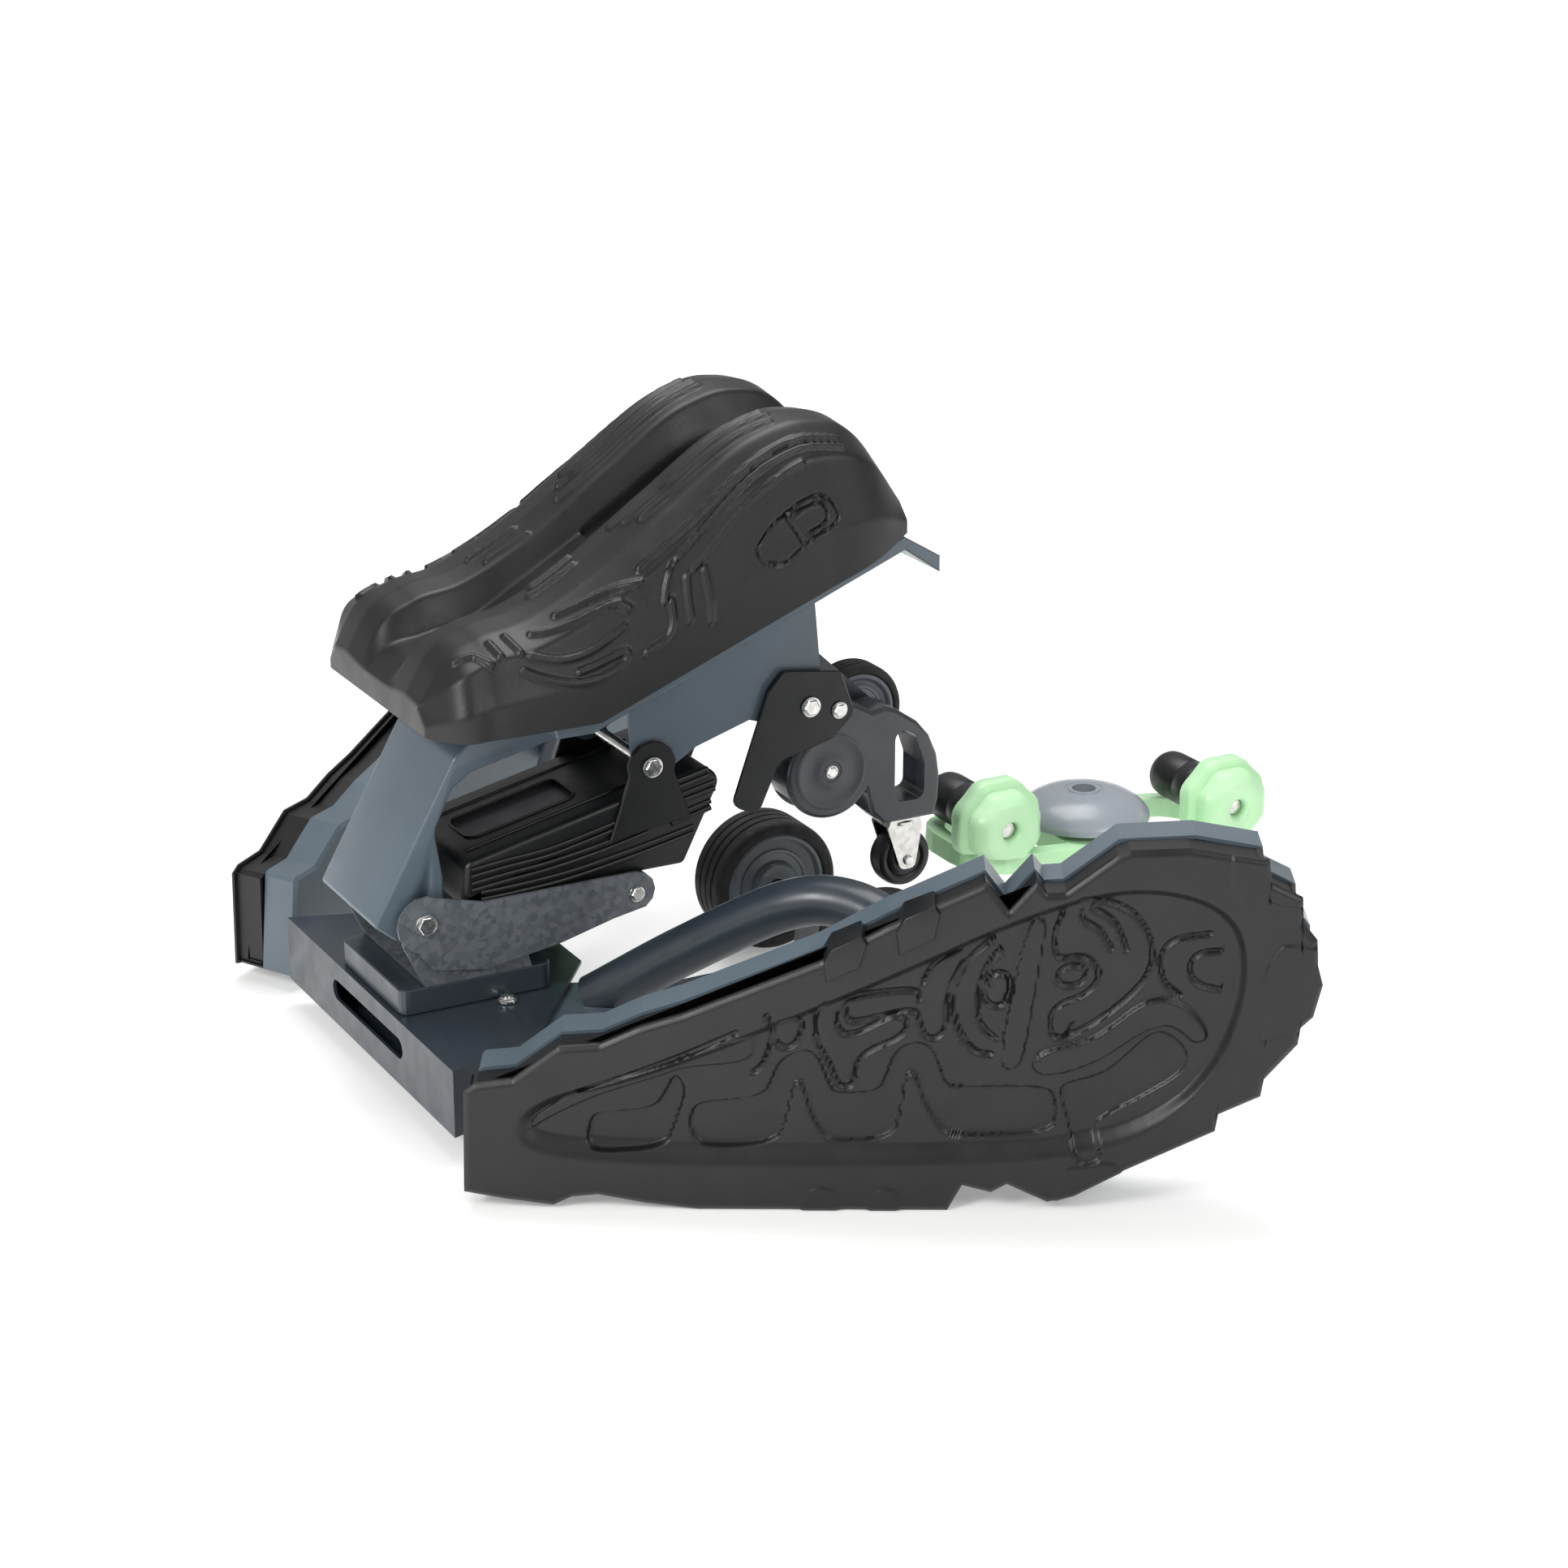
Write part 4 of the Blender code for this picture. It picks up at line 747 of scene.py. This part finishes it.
def hull_section(x, half, crest, channel, count):
    """Half a cross-section as count points, from the channel's middle to the flange, and its arc length."""
    low = deck_line(x)
    rise = crest - low
    corners = np.array([(0.0, channel), (0.020, channel), (0.034, crest - 0.004), (0.062, crest),
                        (0.090, crest - 0.003), (half - 0.014, low + 0.80 * rise), (half, low + 0.35 * rise),
                        (half, low)])
    lengths = np.concatenate([[0], np.cumsum(np.linalg.norm(np.diff(corners, axis=0), axis=1))])
    fine = np.linspace(0, lengths[-1], 4 * count)
    spots = np.stack([np.interp(fine, lengths, corners[:, k]) for k in (0, 1)], axis=1)
    for _ in range(60):
        mirrored = np.vstack([spots[1] * (-1, 1), spots[:-1]])
        ahead = np.vstack([spots[1:], spots[-1:]])
        eased_spots = 0.25 * mirrored + 0.5 * spots + 0.25 * ahead
        eased_spots[-1] = spots[-1]
        spots = eased_spots
    lengths = np.concatenate([[0], np.cumsum(np.linalg.norm(np.diff(spots, axis=0), axis=1))])
    even = np.linspace(0, lengths[-1], count)
    return np.stack([np.interp(even, lengths, spots[:, k]) for k in (0, 1)], axis=1), even


def hull_relief(x, s):
    """Height above the hull's plain surface, in mm, at points in mm."""
    height = np.zeros(x.shape)
    for line in HULL_RIDGES:
        gap = path_distance(x, s, eased(line, False), False)
        height += 3.2 * (1 - smooth_step((gap - 1.4) / 2.0))
    for line in HULL_LINES:
        closed = line[0] == line[-1]
        gap = path_distance(x, s, eased(line[:-1] if closed else line, closed, 1), closed)
        height -= 2.4 * (1 - smooth_step((gap - 0.8) / 1.2))
    return height


def make_hull():
    """Two lobes beside a central channel, lofted along X, with raised lines and a grab opening."""
    columns, rows = 300, 130
    stations = np.array(HULL_STATIONS)
    swing = np.linspace(0, pi, columns)
    first, last = stations[0, 0], stations[-1, 0]
    xs = first + (last - first) * (0.75 * np.linspace(0, 1, columns) + 0.25 * (1 - np.cos(swing)) / 2)
    points = np.zeros((columns, rows, 3))
    lengths = np.zeros((columns, rows))
    for i, x in enumerate(xs):
        half, crest, channel = [float(curve_through(x, stations[:, 0], stations[:, k])) for k in (1, 2, 3)]
        spots, run = hull_section(x, half, crest, channel, rows)
        points[i] = np.stack([np.full(rows, x), spots[:, 0], spots[:, 1]], axis=1)
        lengths[i] = run
    across = np.gradient(points, axis=1)
    onward = np.gradient(points, axis=0)
    normal = np.cross(onward, across)
    normal /= np.maximum(np.linalg.norm(normal, axis=2, keepdims=True), 1e-9)
    relief = hull_relief(1000 * points[:, :, 0], 1000 * lengths)
    pocket = POCKET_DEPTH * pocket_share(points[:, :, 0], points[:, :, 1])
    points += normal * (relief / 1000)[:, :, None]
    points[:, :, 2] -= pocket
    mesh = bmesh.new()
    build_hull_shell(mesh, points)
    add_piece("hull_skin", mesh, "hull_moulding", "deck", ["top_hull"], 60)


def pocket_share(x, y):
    """1 inside the rectangular pocket in the channel, 0 outside it."""
    ease = 0.004
    along = smooth_step((x - POCKET_X[0]) / ease) * smooth_step((POCKET_X[1] - x) / ease)
    return along * smooth_step((POCKET_HALF + 0.003 - np.abs(y)) / ease)


def build_hull_shell(mesh, points):
    """Mirrors the half surface, gives it a wall and closes its edges."""
    whole = np.concatenate([points[:, :0:-1] * (1, -1, 1), points], axis=1)
    count, width = whole.shape[:2]
    wall = 0.0032
    inner = whole.copy()
    inner[:, :, 1] *= 1 - wall / np.maximum(np.abs(whole[:, :, 1]).max(axis=1, keepdims=True), 1e-6)
    drop = np.array([deck_line(x) for x in whole[:, 0, 0]])[:, None]
    inner[:, :, 2] = np.maximum(whole[:, :, 2] - wall, drop)
    out = [[mesh.verts.new(p) for p in row] for row in whole]
    back = [[mesh.verts.new(p) for p in row] for row in inner]
    for i in range(count - 1):
        for j in range(width - 1):
            mesh.faces.new((out[i][j], out[i + 1][j], out[i + 1][j + 1], out[i][j + 1]))
            mesh.faces.new((back[i][j], back[i][j + 1], back[i + 1][j + 1], back[i + 1][j]))
        for j in (0, -1):
            mesh.faces.new((out[i][j], out[i + 1][j], back[i + 1][j], back[i][j]))
    for i in (0, -1):
        for j in range(width - 1):
            mesh.faces.new((out[i][j], out[i][j + 1], back[i][j + 1], back[i][j]))
        mesh.faces.new(back[i])


# ---- lift arm ----
def make_mast_cover():
    """The gooseneck channel with softly rounded bends."""
    outline = rounded([(-0.391, 0.158, 0.004), (-0.3175, 0.288, 0.020), (-0.300, 0.304, 0.010),
                       (-0.220, 0.304, 0.003), (-0.220, 0.292, 0.003), (-0.262, 0.283, 0.010),
                       (-0.304, 0.274, 0.008), (-0.320, 0.262, 0.010), (-0.336, 0.229, 0.020),
                       (-0.330, 0.190, 0.020), (-0.331, 0.146, 0.004), (-0.372, 0.142, 0.005)])
    body = add_prism(bmesh.new(), outline, -MAST_HALF, MAST_HALF, flat_xz, 0.0025, 4)
    cover = add_piece("mast_cover_skin", body, "pale_paint", "arm", ["mast_cover"])
    inner = MAST_HALF - SHEET
    hollow = [(-0.413, 0.113), (-0.3145, 0.2865), (-0.2985, 0.301), (-0.200, 0.301), (-0.200, 0.113)]
    carve(cover, add_prism(bmesh.new(), hollow, -inner, inner, flat_xz))
    bore = [(PIVOT_R + GAP, -BEYOND), (PIVOT_R + GAP, BEYOND)]
    carve(cover, add_turned(bmesh.new(), bore, (ARM_PIVOT[0], 0, ARM_PIVOT[1])))


def on_shroud(a, b, c):
    """Maps (up the slope, across, above it) to the shroud's sloping top."""
    front, rear = SHROUD_TOP
    slope = atan2(rear[1] - front[1], rear[0] - front[0])
    x = front[0] + a * cos(slope) - c * sin(slope)
    return Vector((x, b, front[1] + a * sin(slope) + c * cos(slope)))


def make_shroud():
    """Gloss moulding with long bent beads on its sides, and a slot in its sloping top."""
    profile = rounded([(-0.316, 0.1630, 0.001), (-0.116, 0.1630, 0.006), (-0.078, 0.238, 0.012),
                       (*SHROUD_TOP[1], 0.010), (*SHROUD_TOP[0], 0.010)])
    body = add_prism(bmesh.new(), profile, -SHROUD_HALF, SHROUD_HALF, flat_xz, 0.005, 4)
    shroud = add_piece("shroud_skin", body, "deep_black", "arm", ["ribbed_shroud"])
    hollow = [(-0.305, 0.15), (-0.122, 0.15), (-0.098, 0.2), (-0.098, 0.2395), (-0.305, 0.1935)]
    carve(shroud, add_prism(bmesh.new(), hollow, -0.055, 0.055, flat_xz))
    slot = rounded([(0.020, -0.024, 0.010), (0.120, -0.024, 0.010), (0.120, 0.024, 0.010),
                    (0.020, 0.024, 0.010)])
    carve(shroud, add_prism(bmesh.new(), slot, -0.02, 0.01, on_shroud))
    beads = bmesh.new()
    for side in (-1, 1):
        level = side * (SHROUD_HALF - 0.0004)
        for path in SHROUD_BEADS:
            for lift in (-0.0029, 0.0029):
                line = smooth_path([(x, level, z + lift) for x, z in path], 6)
                add_pipe(beads, line, 0.0026, 16)
    for level in (-0.040, 0.040):
        line = [on_shroud(0.010 + 0.186 * k / 12, level, 0.0) for k in range(13)]
        add_pipe(beads, line, 0.0016, 12)
    rim = [on_shroud(a, b, 0.0004) for a, b in slot + slot[:2]]
    add_pipe(beads, rim, 0.0012, 10)
    add_piece("shroud_beads", beads, "deep_black", "arm", sharp=60)


# ---- wheels and fasteners ----
def make_wheel(word, centre, radius, width, bore, body):
    """A tyre with rounded shoulders and fine grooves, on a stepped hub with a raised boss."""
    half = width / 2
    rim = radius * 0.80
    face = [(rim, 0.90), (rim - 0.0012, 0.93), (rim - 0.0035, 0.93), (rim - 0.0048, 0.86),
            (rim - 0.0060, 0.74), (rim * 0.70, 0.70), (rim * 0.68, 0.76), (rim * 0.63, 0.77),
            (rim * 0.61, 0.72), (rim * 0.48, 0.74), (rim * 0.44, 0.94), (rim * 0.41, 1.0),
            (bore + 0.003, 1.0), (bore + 0.0009, 0.97)]
    hub = [(r, share * half) for r, share in face] + [(r, -share * half) for r, share in reversed(face)]
    add_piece(word + "_hub_skin", add_turned(bmesh.new(), hub, centre, "y", ROUND, True), "hub_grey", body,
              [word + "_hub"])
    shoulder = min(0.006, 0.22 * width)
    tread = []
    for x, z in arc((0, 0), shoulder, 90, 0, 6):
        tread.append((radius - shoulder + z, half - shoulder + x))
    tread = tread[::-1]
    grooves = []
    for share in (0.42, 0.0, -0.42):
        middle = share * half
        grooves += [(radius, middle + 0.0016), (radius - 0.0014, middle + 0.0008),
                    (radius - 0.0014, middle - 0.0008), (radius, middle - 0.0016)]
    outside = tread + grooves + [(r, -y) for r, y in reversed(tread)]
    ring = [(rim + 0.0003, -half + 0.0012), (rim + 0.0003, half - 0.0012), (rim + 0.0016, half)]
    tyre = outside + [(rim + 0.0016, -half)] + ring
    add_piece(word + "_tyre_skin", add_turned(bmesh.new(), tyre, centre, "y", ROUND, True), "rubber", body,
              [word + "_tyre"])


def make_bolt(node, radius, head, low, high, depth, centre, axis, body):
    """A flanged hex bolt with a washer and a lock nut on its far end, standing for one CAD pin."""
    mesh = bmesh.new()
    add_turned(mesh, [(radius, low - 0.3 * depth), (radius, high + 0.3 * depth)], centre, axis, 32)
    for end, sign in ((low, -1), (high, 1)):
        flange = [(head - 0.0006, end), (head, end + sign * 0.0006), (head * 0.97, end + sign * 0.32 * depth),
                  (head * 0.80, end + sign * 0.42 * depth)]
        add_turned(mesh, flange if sign > 0 else flange[::-1], centre, axis, 40)
        hexagon = sorted((end, end + sign * (depth if sign < 0 else 0.85 * depth)))
        add_hex(mesh, head * 0.80, hexagon[0], hexagon[1], centre, axis)
    crown = [(radius * 0.75, high + 0.5 * depth), (radius * 0.75, high + 1.05 * depth),
             (radius * 0.55, high + 1.15 * depth)]
    add_turned(mesh, crown, centre, axis, 24)
    add_piece(node + "_skin", mesh, "chrome", body, [node], 30)


def make_fasteners():
    for word, side in (("left", -1), ("right", 1)):
        upright = (LEG_PIVOT[0], side * LEG_PIVOT[1], 0)
        make_bolt(word + "_pivot_bolt", DECK_BOLT_R, 0.0085, BOX_BOTTOM - GAP, BOX_TOP + GAP, 0.005, upright,
                  "z", "base")
    for node, radius, head, half, depth, spot, body in PINS:
        make_bolt(node, radius, head, -half, half, depth, (spot[0], 0, spot[1]), "y", body)
    low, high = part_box("hood_axle")
    middle = (low + high) / 2 - SHIFT
    make_bolt("hood_axle", SMALL_PIN_R, 0.006, HOOD_NEAR - GAP, HOOD_FAR + GAP, 0.003,
              (middle.x, 0, middle.z), "y", "swing_arm")


def make_wheels():
    for word, side in (("left", -1), ("right", 1)):
        x, y, z = MAIN_WHEEL
        make_wheel(word + "_main", (x, side * y, z), z, MAIN_WHEEL_WIDTH, AXLE_R + GAP, word + "_wheel")
    make_wheel("idler", (IDLER[0], 0, IDLER[1]), IDLER_R, CASTER_WIDTH, DECK_BOLT_R + GAP, "idler")
    middle = (HOOD_NEAR + HOOD_FAR) / 2
    make_wheel("caster", (HOOD_WHEEL[0], middle, HOOD_WHEEL[1]), HOOD_WHEEL_R, CASTER_WIDTH,
               SMALL_PIN_R + GAP, "caster_wheel")


def make_hood():
    """The hood with a rounded rim, a raised disc over its wheel, and the open arm behind it."""
    lug = arc(SWING_PIN, 0.011, 150, 30, 12)
    outline = lug + [(0.062, 0.268), (0.074, 0.270), (0.084, 0.267), (0.106, 0.252), (0.118, 0.238),
                     (0.126, 0.220), (0.129, 0.200), (0.128, 0.178), (0.124, 0.164), (0.074, 0.164),
                     (0.062, 0.176), (0.058, 0.200)]
    outline += arc(HOOD_WHEEL, 0.042, -38, -170, 28) + arc(HOOD_WHEEL, 0.042, 180, 120, 14)
    mesh = add_prism(bmesh.new(), outline, HOOD_NEAR, HOOD_FAR, flat_xz, 0.004, 4)
    hood = add_piece("hood_skin", mesh, "hood_gloss", "swing_arm", ["caster_hood"])
    room = arc(HOOD_WHEEL, 0.037, 0, 180, 40) + [(HOOD_WHEEL[0] - 0.037, 0.14), (HOOD_WHEEL[0] + 0.037, 0.14)]
    carve(hood, add_prism(bmesh.new(), room, HOOD_NEAR + 0.004, HOOD_FAR - 0.004, flat_xz))
    window = rounded([(0.084, 0.252, 0.008), (0.104, 0.240, 0.008), (0.113, 0.214, 0.010),
                      (0.113, 0.182, 0.008), (0.084, 0.182, 0.008)])
    carve(hood, add_prism(bmesh.new(), window, -0.08, 0.0, flat_xz))
    bore = [(SMALL_PIN_R + GAP, -BEYOND), (SMALL_PIN_R + GAP, 0.0)]
    for x, z in (HOOD_WHEEL, SWING_PIN):
        carve(hood, add_turned(bmesh.new(), bore, (x, 0, z), "y", 32))
    near = HOOD_NEAR
    disc = [(0.0045, near + 0.002), (0.0335, near + 0.002), (0.0335, near - 0.0006), (0.0322, near - 0.0014),
            (0.0300, near - 0.0014), (0.0290, near - 0.0006), (0.0145, near - 0.0006),
            (0.0135, near - 0.0013), (0.0095, near - 0.0013), (0.0088, near - 0.0004),
            (0.0045, near - 0.0004)]
    add_piece("hood_disc", add_turned(bmesh.new(), disc, (HOOD_WHEEL[0], 0, HOOD_WHEEL[1]), "y", ROUND, True),
              "grey_moulding", "swing_arm")


def make_small_caster():
    x, y = SMALL_CASTER
    centre = (x + SMALL_TRAIL, y, SMALL_WHEEL_Z)
    tread = [(0.0033, -0.0095), (0.0100, -0.0105), (0.0145, -0.0100), (0.0165, -0.0080), (0.0180, -0.0095),
             (0.0215, -0.0100), (0.0246, -0.0082), (0.0258, -0.0045), (0.0260, 0.0)]
    profile = tread + [(r, -level) for r, level in reversed(tread[:-1])]
    add_piece("swivel_wheel_skin", add_turned(bmesh.new(), profile, centre, "y", ROUND, True), "deep_black",
              "swivel_wheel", ["swivel_wheel"])
    race = [(0.0053, 0.1570), (0.0150, 0.1570), (0.0165, 0.1580), (0.0165, 0.1605), (0.0140, 0.1618),
            (0.0140, 0.1637), (0.0053, 0.1637)]
    add_piece("swivel_race", add_turned(bmesh.new(), race, (x, y, 0), "z", ROUND, True), "chrome", "swivel")
    stem = [(0.0074, 0.1547), (0.0075, 0.1567), (0.0050, 0.1567), (0.0050, 0.1720), (0.0042, 0.1730)]
    add_piece("swivel_stem_skin", add_turned(bmesh.new(), stem, (x, y, 0), "z", 40), "chrome", "swing_arm",
              ["swivel_stem"])
    mesh = add_turned(bmesh.new(), [(FORK_AXLE_R, -0.0148), (FORK_AXLE_R, 0.0148)], centre, "y", 32)
    for side in (-1, 1):
        cap = [(0.0045, side * 0.0148), (0.0043, side * 0.0162), (0.0030, side * 0.0168)]
        add_turned(mesh, cap, centre, "y", 32)
    add_piece("swivel_axle_skin", mesh, "chrome", "swivel", ["swivel_axle"])


# ---- rear bogie ----
def bogie_place(a, b, c):
    """Maps the bogie's own level frame to the model, pitched nose up."""
    return Vector((BOGIE_X + a * cos(BOGIE_PITCH) + c * sin(BOGIE_PITCH), b,
                   BOGIE_Z - a * sin(BOGIE_PITCH) + c * cos(BOGIE_PITCH)))


def make_bogie():
    dome = [(POST_BORE, 0.0195), (0.0585, 0.0195), (0.060, 0.0205), (0.060, 0.0232), (0.0590, 0.0258),
            (0.0560, 0.0300), (0.0510, 0.0346), (0.0440, 0.0388), (0.0350, 0.0424), (0.0250, 0.0447),
            (0.0180, 0.0456), (0.0172, 0.0448), (0.0150, 0.0448), (0.0142, 0.0460), (POST_BORE, 0.0460)]
    dome = [(r, h + BOGIE_Z - 0.003) for r, h in dome]
    add_piece("dome_skin", add_turned(bmesh.new(), dome, (BOGIE_X, 0, 0), "z", 96, True), "dome_grey",
              "bogie", ["bogie_dome"])
    for end, word in ((-1, "front"), (1, "rear")):
        centre = bogie_place(end * ROLLER_REACH, -0.045, ROLLER_LIFT)
        make_roller_cap(word, centre)
        axle_centre = (centre.x, 0, centre.z)
        axle = [(0.0070, -0.0600), (0.0077, -0.0590), (0.0077, -0.019), (0.005, -0.019), (0.005, 0.052),
                (0.0085, 0.052), (0.009, 0.0528), (0.009, 0.0568), (0.0082, 0.058)]
        add_piece(word + "_roller_axle_skin", add_turned(bmesh.new(), axle, axle_centre, "y", 32), "chrome",
                  "bogie", [word + "_roller_axle"])
        barrel = [(0.0053, -0.0185), (0.0130, -0.0185), (0.0160, -0.0175), (0.0190, -0.0145),
                  (0.0210, -0.0105), (0.0220, -0.0050), (0.0220, 0.0080), (0.0213, 0.0092),
                  (0.0213, 0.0108), (0.0220, 0.0120),
                  (0.0220, 0.0390), (0.0212, 0.0445), (0.0190, 0.0485), (0.0160, 0.0508), (0.0130, 0.0515),
                  (0.0053, 0.0515)]
        add_piece(word + "_roller_skin", add_turned(bmesh.new(), barrel, axle_centre, "y", ROUND, True),
                  "deep_black", word + "_roller", [word + "_roller"])


def make_roller_cap(word, centre):
    """A moulded cap: a flanged drum with eight soft flats and a round socket in its face."""
    mesh = bmesh.new()
    drum = [(0.0085, -0.0205), (0.0120, -0.0240), (0.0245, -0.0240), (0.0268, -0.0228), (0.0345, -0.0160),
            (0.0352, -0.0120), (0.0352, -0.0040), (0.0420, -0.0020), (0.0430, 0.0000), (0.0430, 0.0120),
            (0.0420, 0.0140), (0.0320, 0.0220), (0.0290, 0.0238), (0.0110, 0.0238), (0.0085, 0.0200)]
    rings = []
    for radius, level in drum:
        ring = []
        for k in range(96):
            angle = 2 * pi * k / 96
            flat = 1 - 0.055 * (0.5 + 0.5 * cos(8 * angle)) * smooth_step((radius - 0.020) / 0.012)
            spot = Vector((radius * flat * cos(angle), level, radius * flat * sin(angle)))
            ring.append(Vector(centre) + spot)
        rings.append(ring)
    add_rings(mesh, rings, True)
    cap = add_piece(word + "_cap_skin", mesh, "green", "bogie", [word + "_roller_cap"], 50)
    level = [(-0.2, -0.2), (0.2, -0.2), (0.2, 0.0093), (-0.2, 0.0093)]
    carve(cap, add_prism(bmesh.new(), level, -0.2, 0.2, lambda a, b, c: bogie_place(a, c, b)))


# ---- camera, light and floor ----
def make_camera():
    target = SHIFT + Vector((0.0, -0.02, 0.2))
    azimuth, elevation, distance = radians(28.3), radians(20), 2.966
    forward = Vector((sin(azimuth) * cos(elevation), cos(azimuth) * cos(elevation), -sin(elevation)))
    data = bpy.data.cameras.new("camera")
    data.lens = 80.1
    data.sensor_width = 36
    camera = bpy.data.objects.new("camera", data)
    camera.location = target - forward * distance
    camera.rotation_euler = forward.to_track_quat("-Z", "Y").to_euler()
    bpy.context.scene.collection.objects.link(camera)
    bpy.context.scene.camera = camera


def add_area(name, place, size, power, target=(0, 0, 0.15)):
    data = bpy.data.lights.new(name, "AREA")
    data.shape = "RECTANGLE"
    data.size, data.size_y = size
    data.energy = power
    lamp = bpy.data.objects.new(name, data)
    lamp.location = place
    lamp.rotation_euler = (Vector(target) - Vector(place)).to_track_quat("-Z", "Y").to_euler()
    bpy.context.scene.collection.objects.link(lamp)


def make_stage():
    mesh = bmesh.new()
    bmesh.ops.create_grid(mesh, x_segments=1, y_segments=1, size=30)
    data = bpy.data.meshes.new("floor")
    mesh.to_mesh(data)
    mesh.free()
    floor = bpy.data.objects.new("floor", data)
    floor.location.z = -0.0005
    bpy.context.scene.collection.objects.link(floor)
    material = bpy.data.materials.new("pale_floor")
    material.use_nodes = True
    shader = material.node_tree.nodes["Principled BSDF"]
    shader.inputs["Base Color"].default_value = (0.88, 0.88, 0.87, 1)
    shader.inputs["Roughness"].default_value = 0.8
    # Painted light: the floor glows weakly (0.26) near its middle, where the object stands, and up to 0.62
    # two metres out, leaving a painted shade round the object.
    shader.inputs["Emission Color"].default_value = (1.0, 1.0, 0.99, 1)
    nodes = material.node_tree.nodes
    links = material.node_tree.links
    reach = nodes.new("ShaderNodeVectorMath")
    reach.operation = "LENGTH"
    painted_floor_light = nodes.new("ShaderNodeMapRange")
    for socket, value in (("From Min", 0.5), ("From Max", 2.0), ("To Min", 0.26), ("To Max", 0.62)):
        painted_floor_light.inputs[socket].default_value = value
    links.new(nodes.new("ShaderNodeTexCoord").outputs["Object"], reach.inputs[0])
    links.new(reach.outputs["Value"], painted_floor_light.inputs["Value"])
    links.new(painted_floor_light.outputs["Result"], shader.inputs["Emission Strength"])
    data.materials.append(material)
    world = bpy.data.worlds.new("studio")
    world.use_nodes = True
    world.node_tree.nodes["Background"].inputs["Color"].default_value = (1.0, 1.0, 1.0, 1)
    world.node_tree.nodes["Background"].inputs["Strength"].default_value = 0.42
    bpy.context.scene.world = world
    bpy.context.scene.view_settings.view_transform = "Standard"
    add_area("key", (-2.6, -1.0, 1.9), (1.0, 1.0), 55)
    add_area("front_fill", (0.9, -3.0, 2.2), (1.6, 0.8), 28)
    add_area("top", (0.3, 0.8, 3.0), (2.0, 2.0), 60)


make_materials()
make_camera()
make_stage()
for word, side in (("left", -1), ("right", 1)):
    make_cover(word, side)
    make_leg_tube(word, side)
make_hull()
make_mast_cover()
make_shroud()
make_hood()
make_small_caster()
make_wheels()
make_fasteners()
make_bogie()

for node in ("front_box", "box_floor", "mast_riser", "spine_beam", "axle_block", "idler_fork"):
    soften(node, "slate_paint", 0.001)
for node in ("deck_bracket", "hull_pan"):
    soften(node, "pale_paint", 0.0014)
for node in ("mast_bracket", "lift_arm"):
    soften(node, "galvanised", 0.0009)
for node in ("left_carrier_plate", "right_carrier_plate", "left_pivot_cheek", "right_pivot_cheek"):
    soften(node, "deep_black", 0.0008)
for node in ("arm_bumper", "bogie_frame"):
    soften(node, "green", 0.0015)
soften("slot_insert", "grey_moulding", 0.0008)
soften("swivel_fork", "chrome", 0.0006)
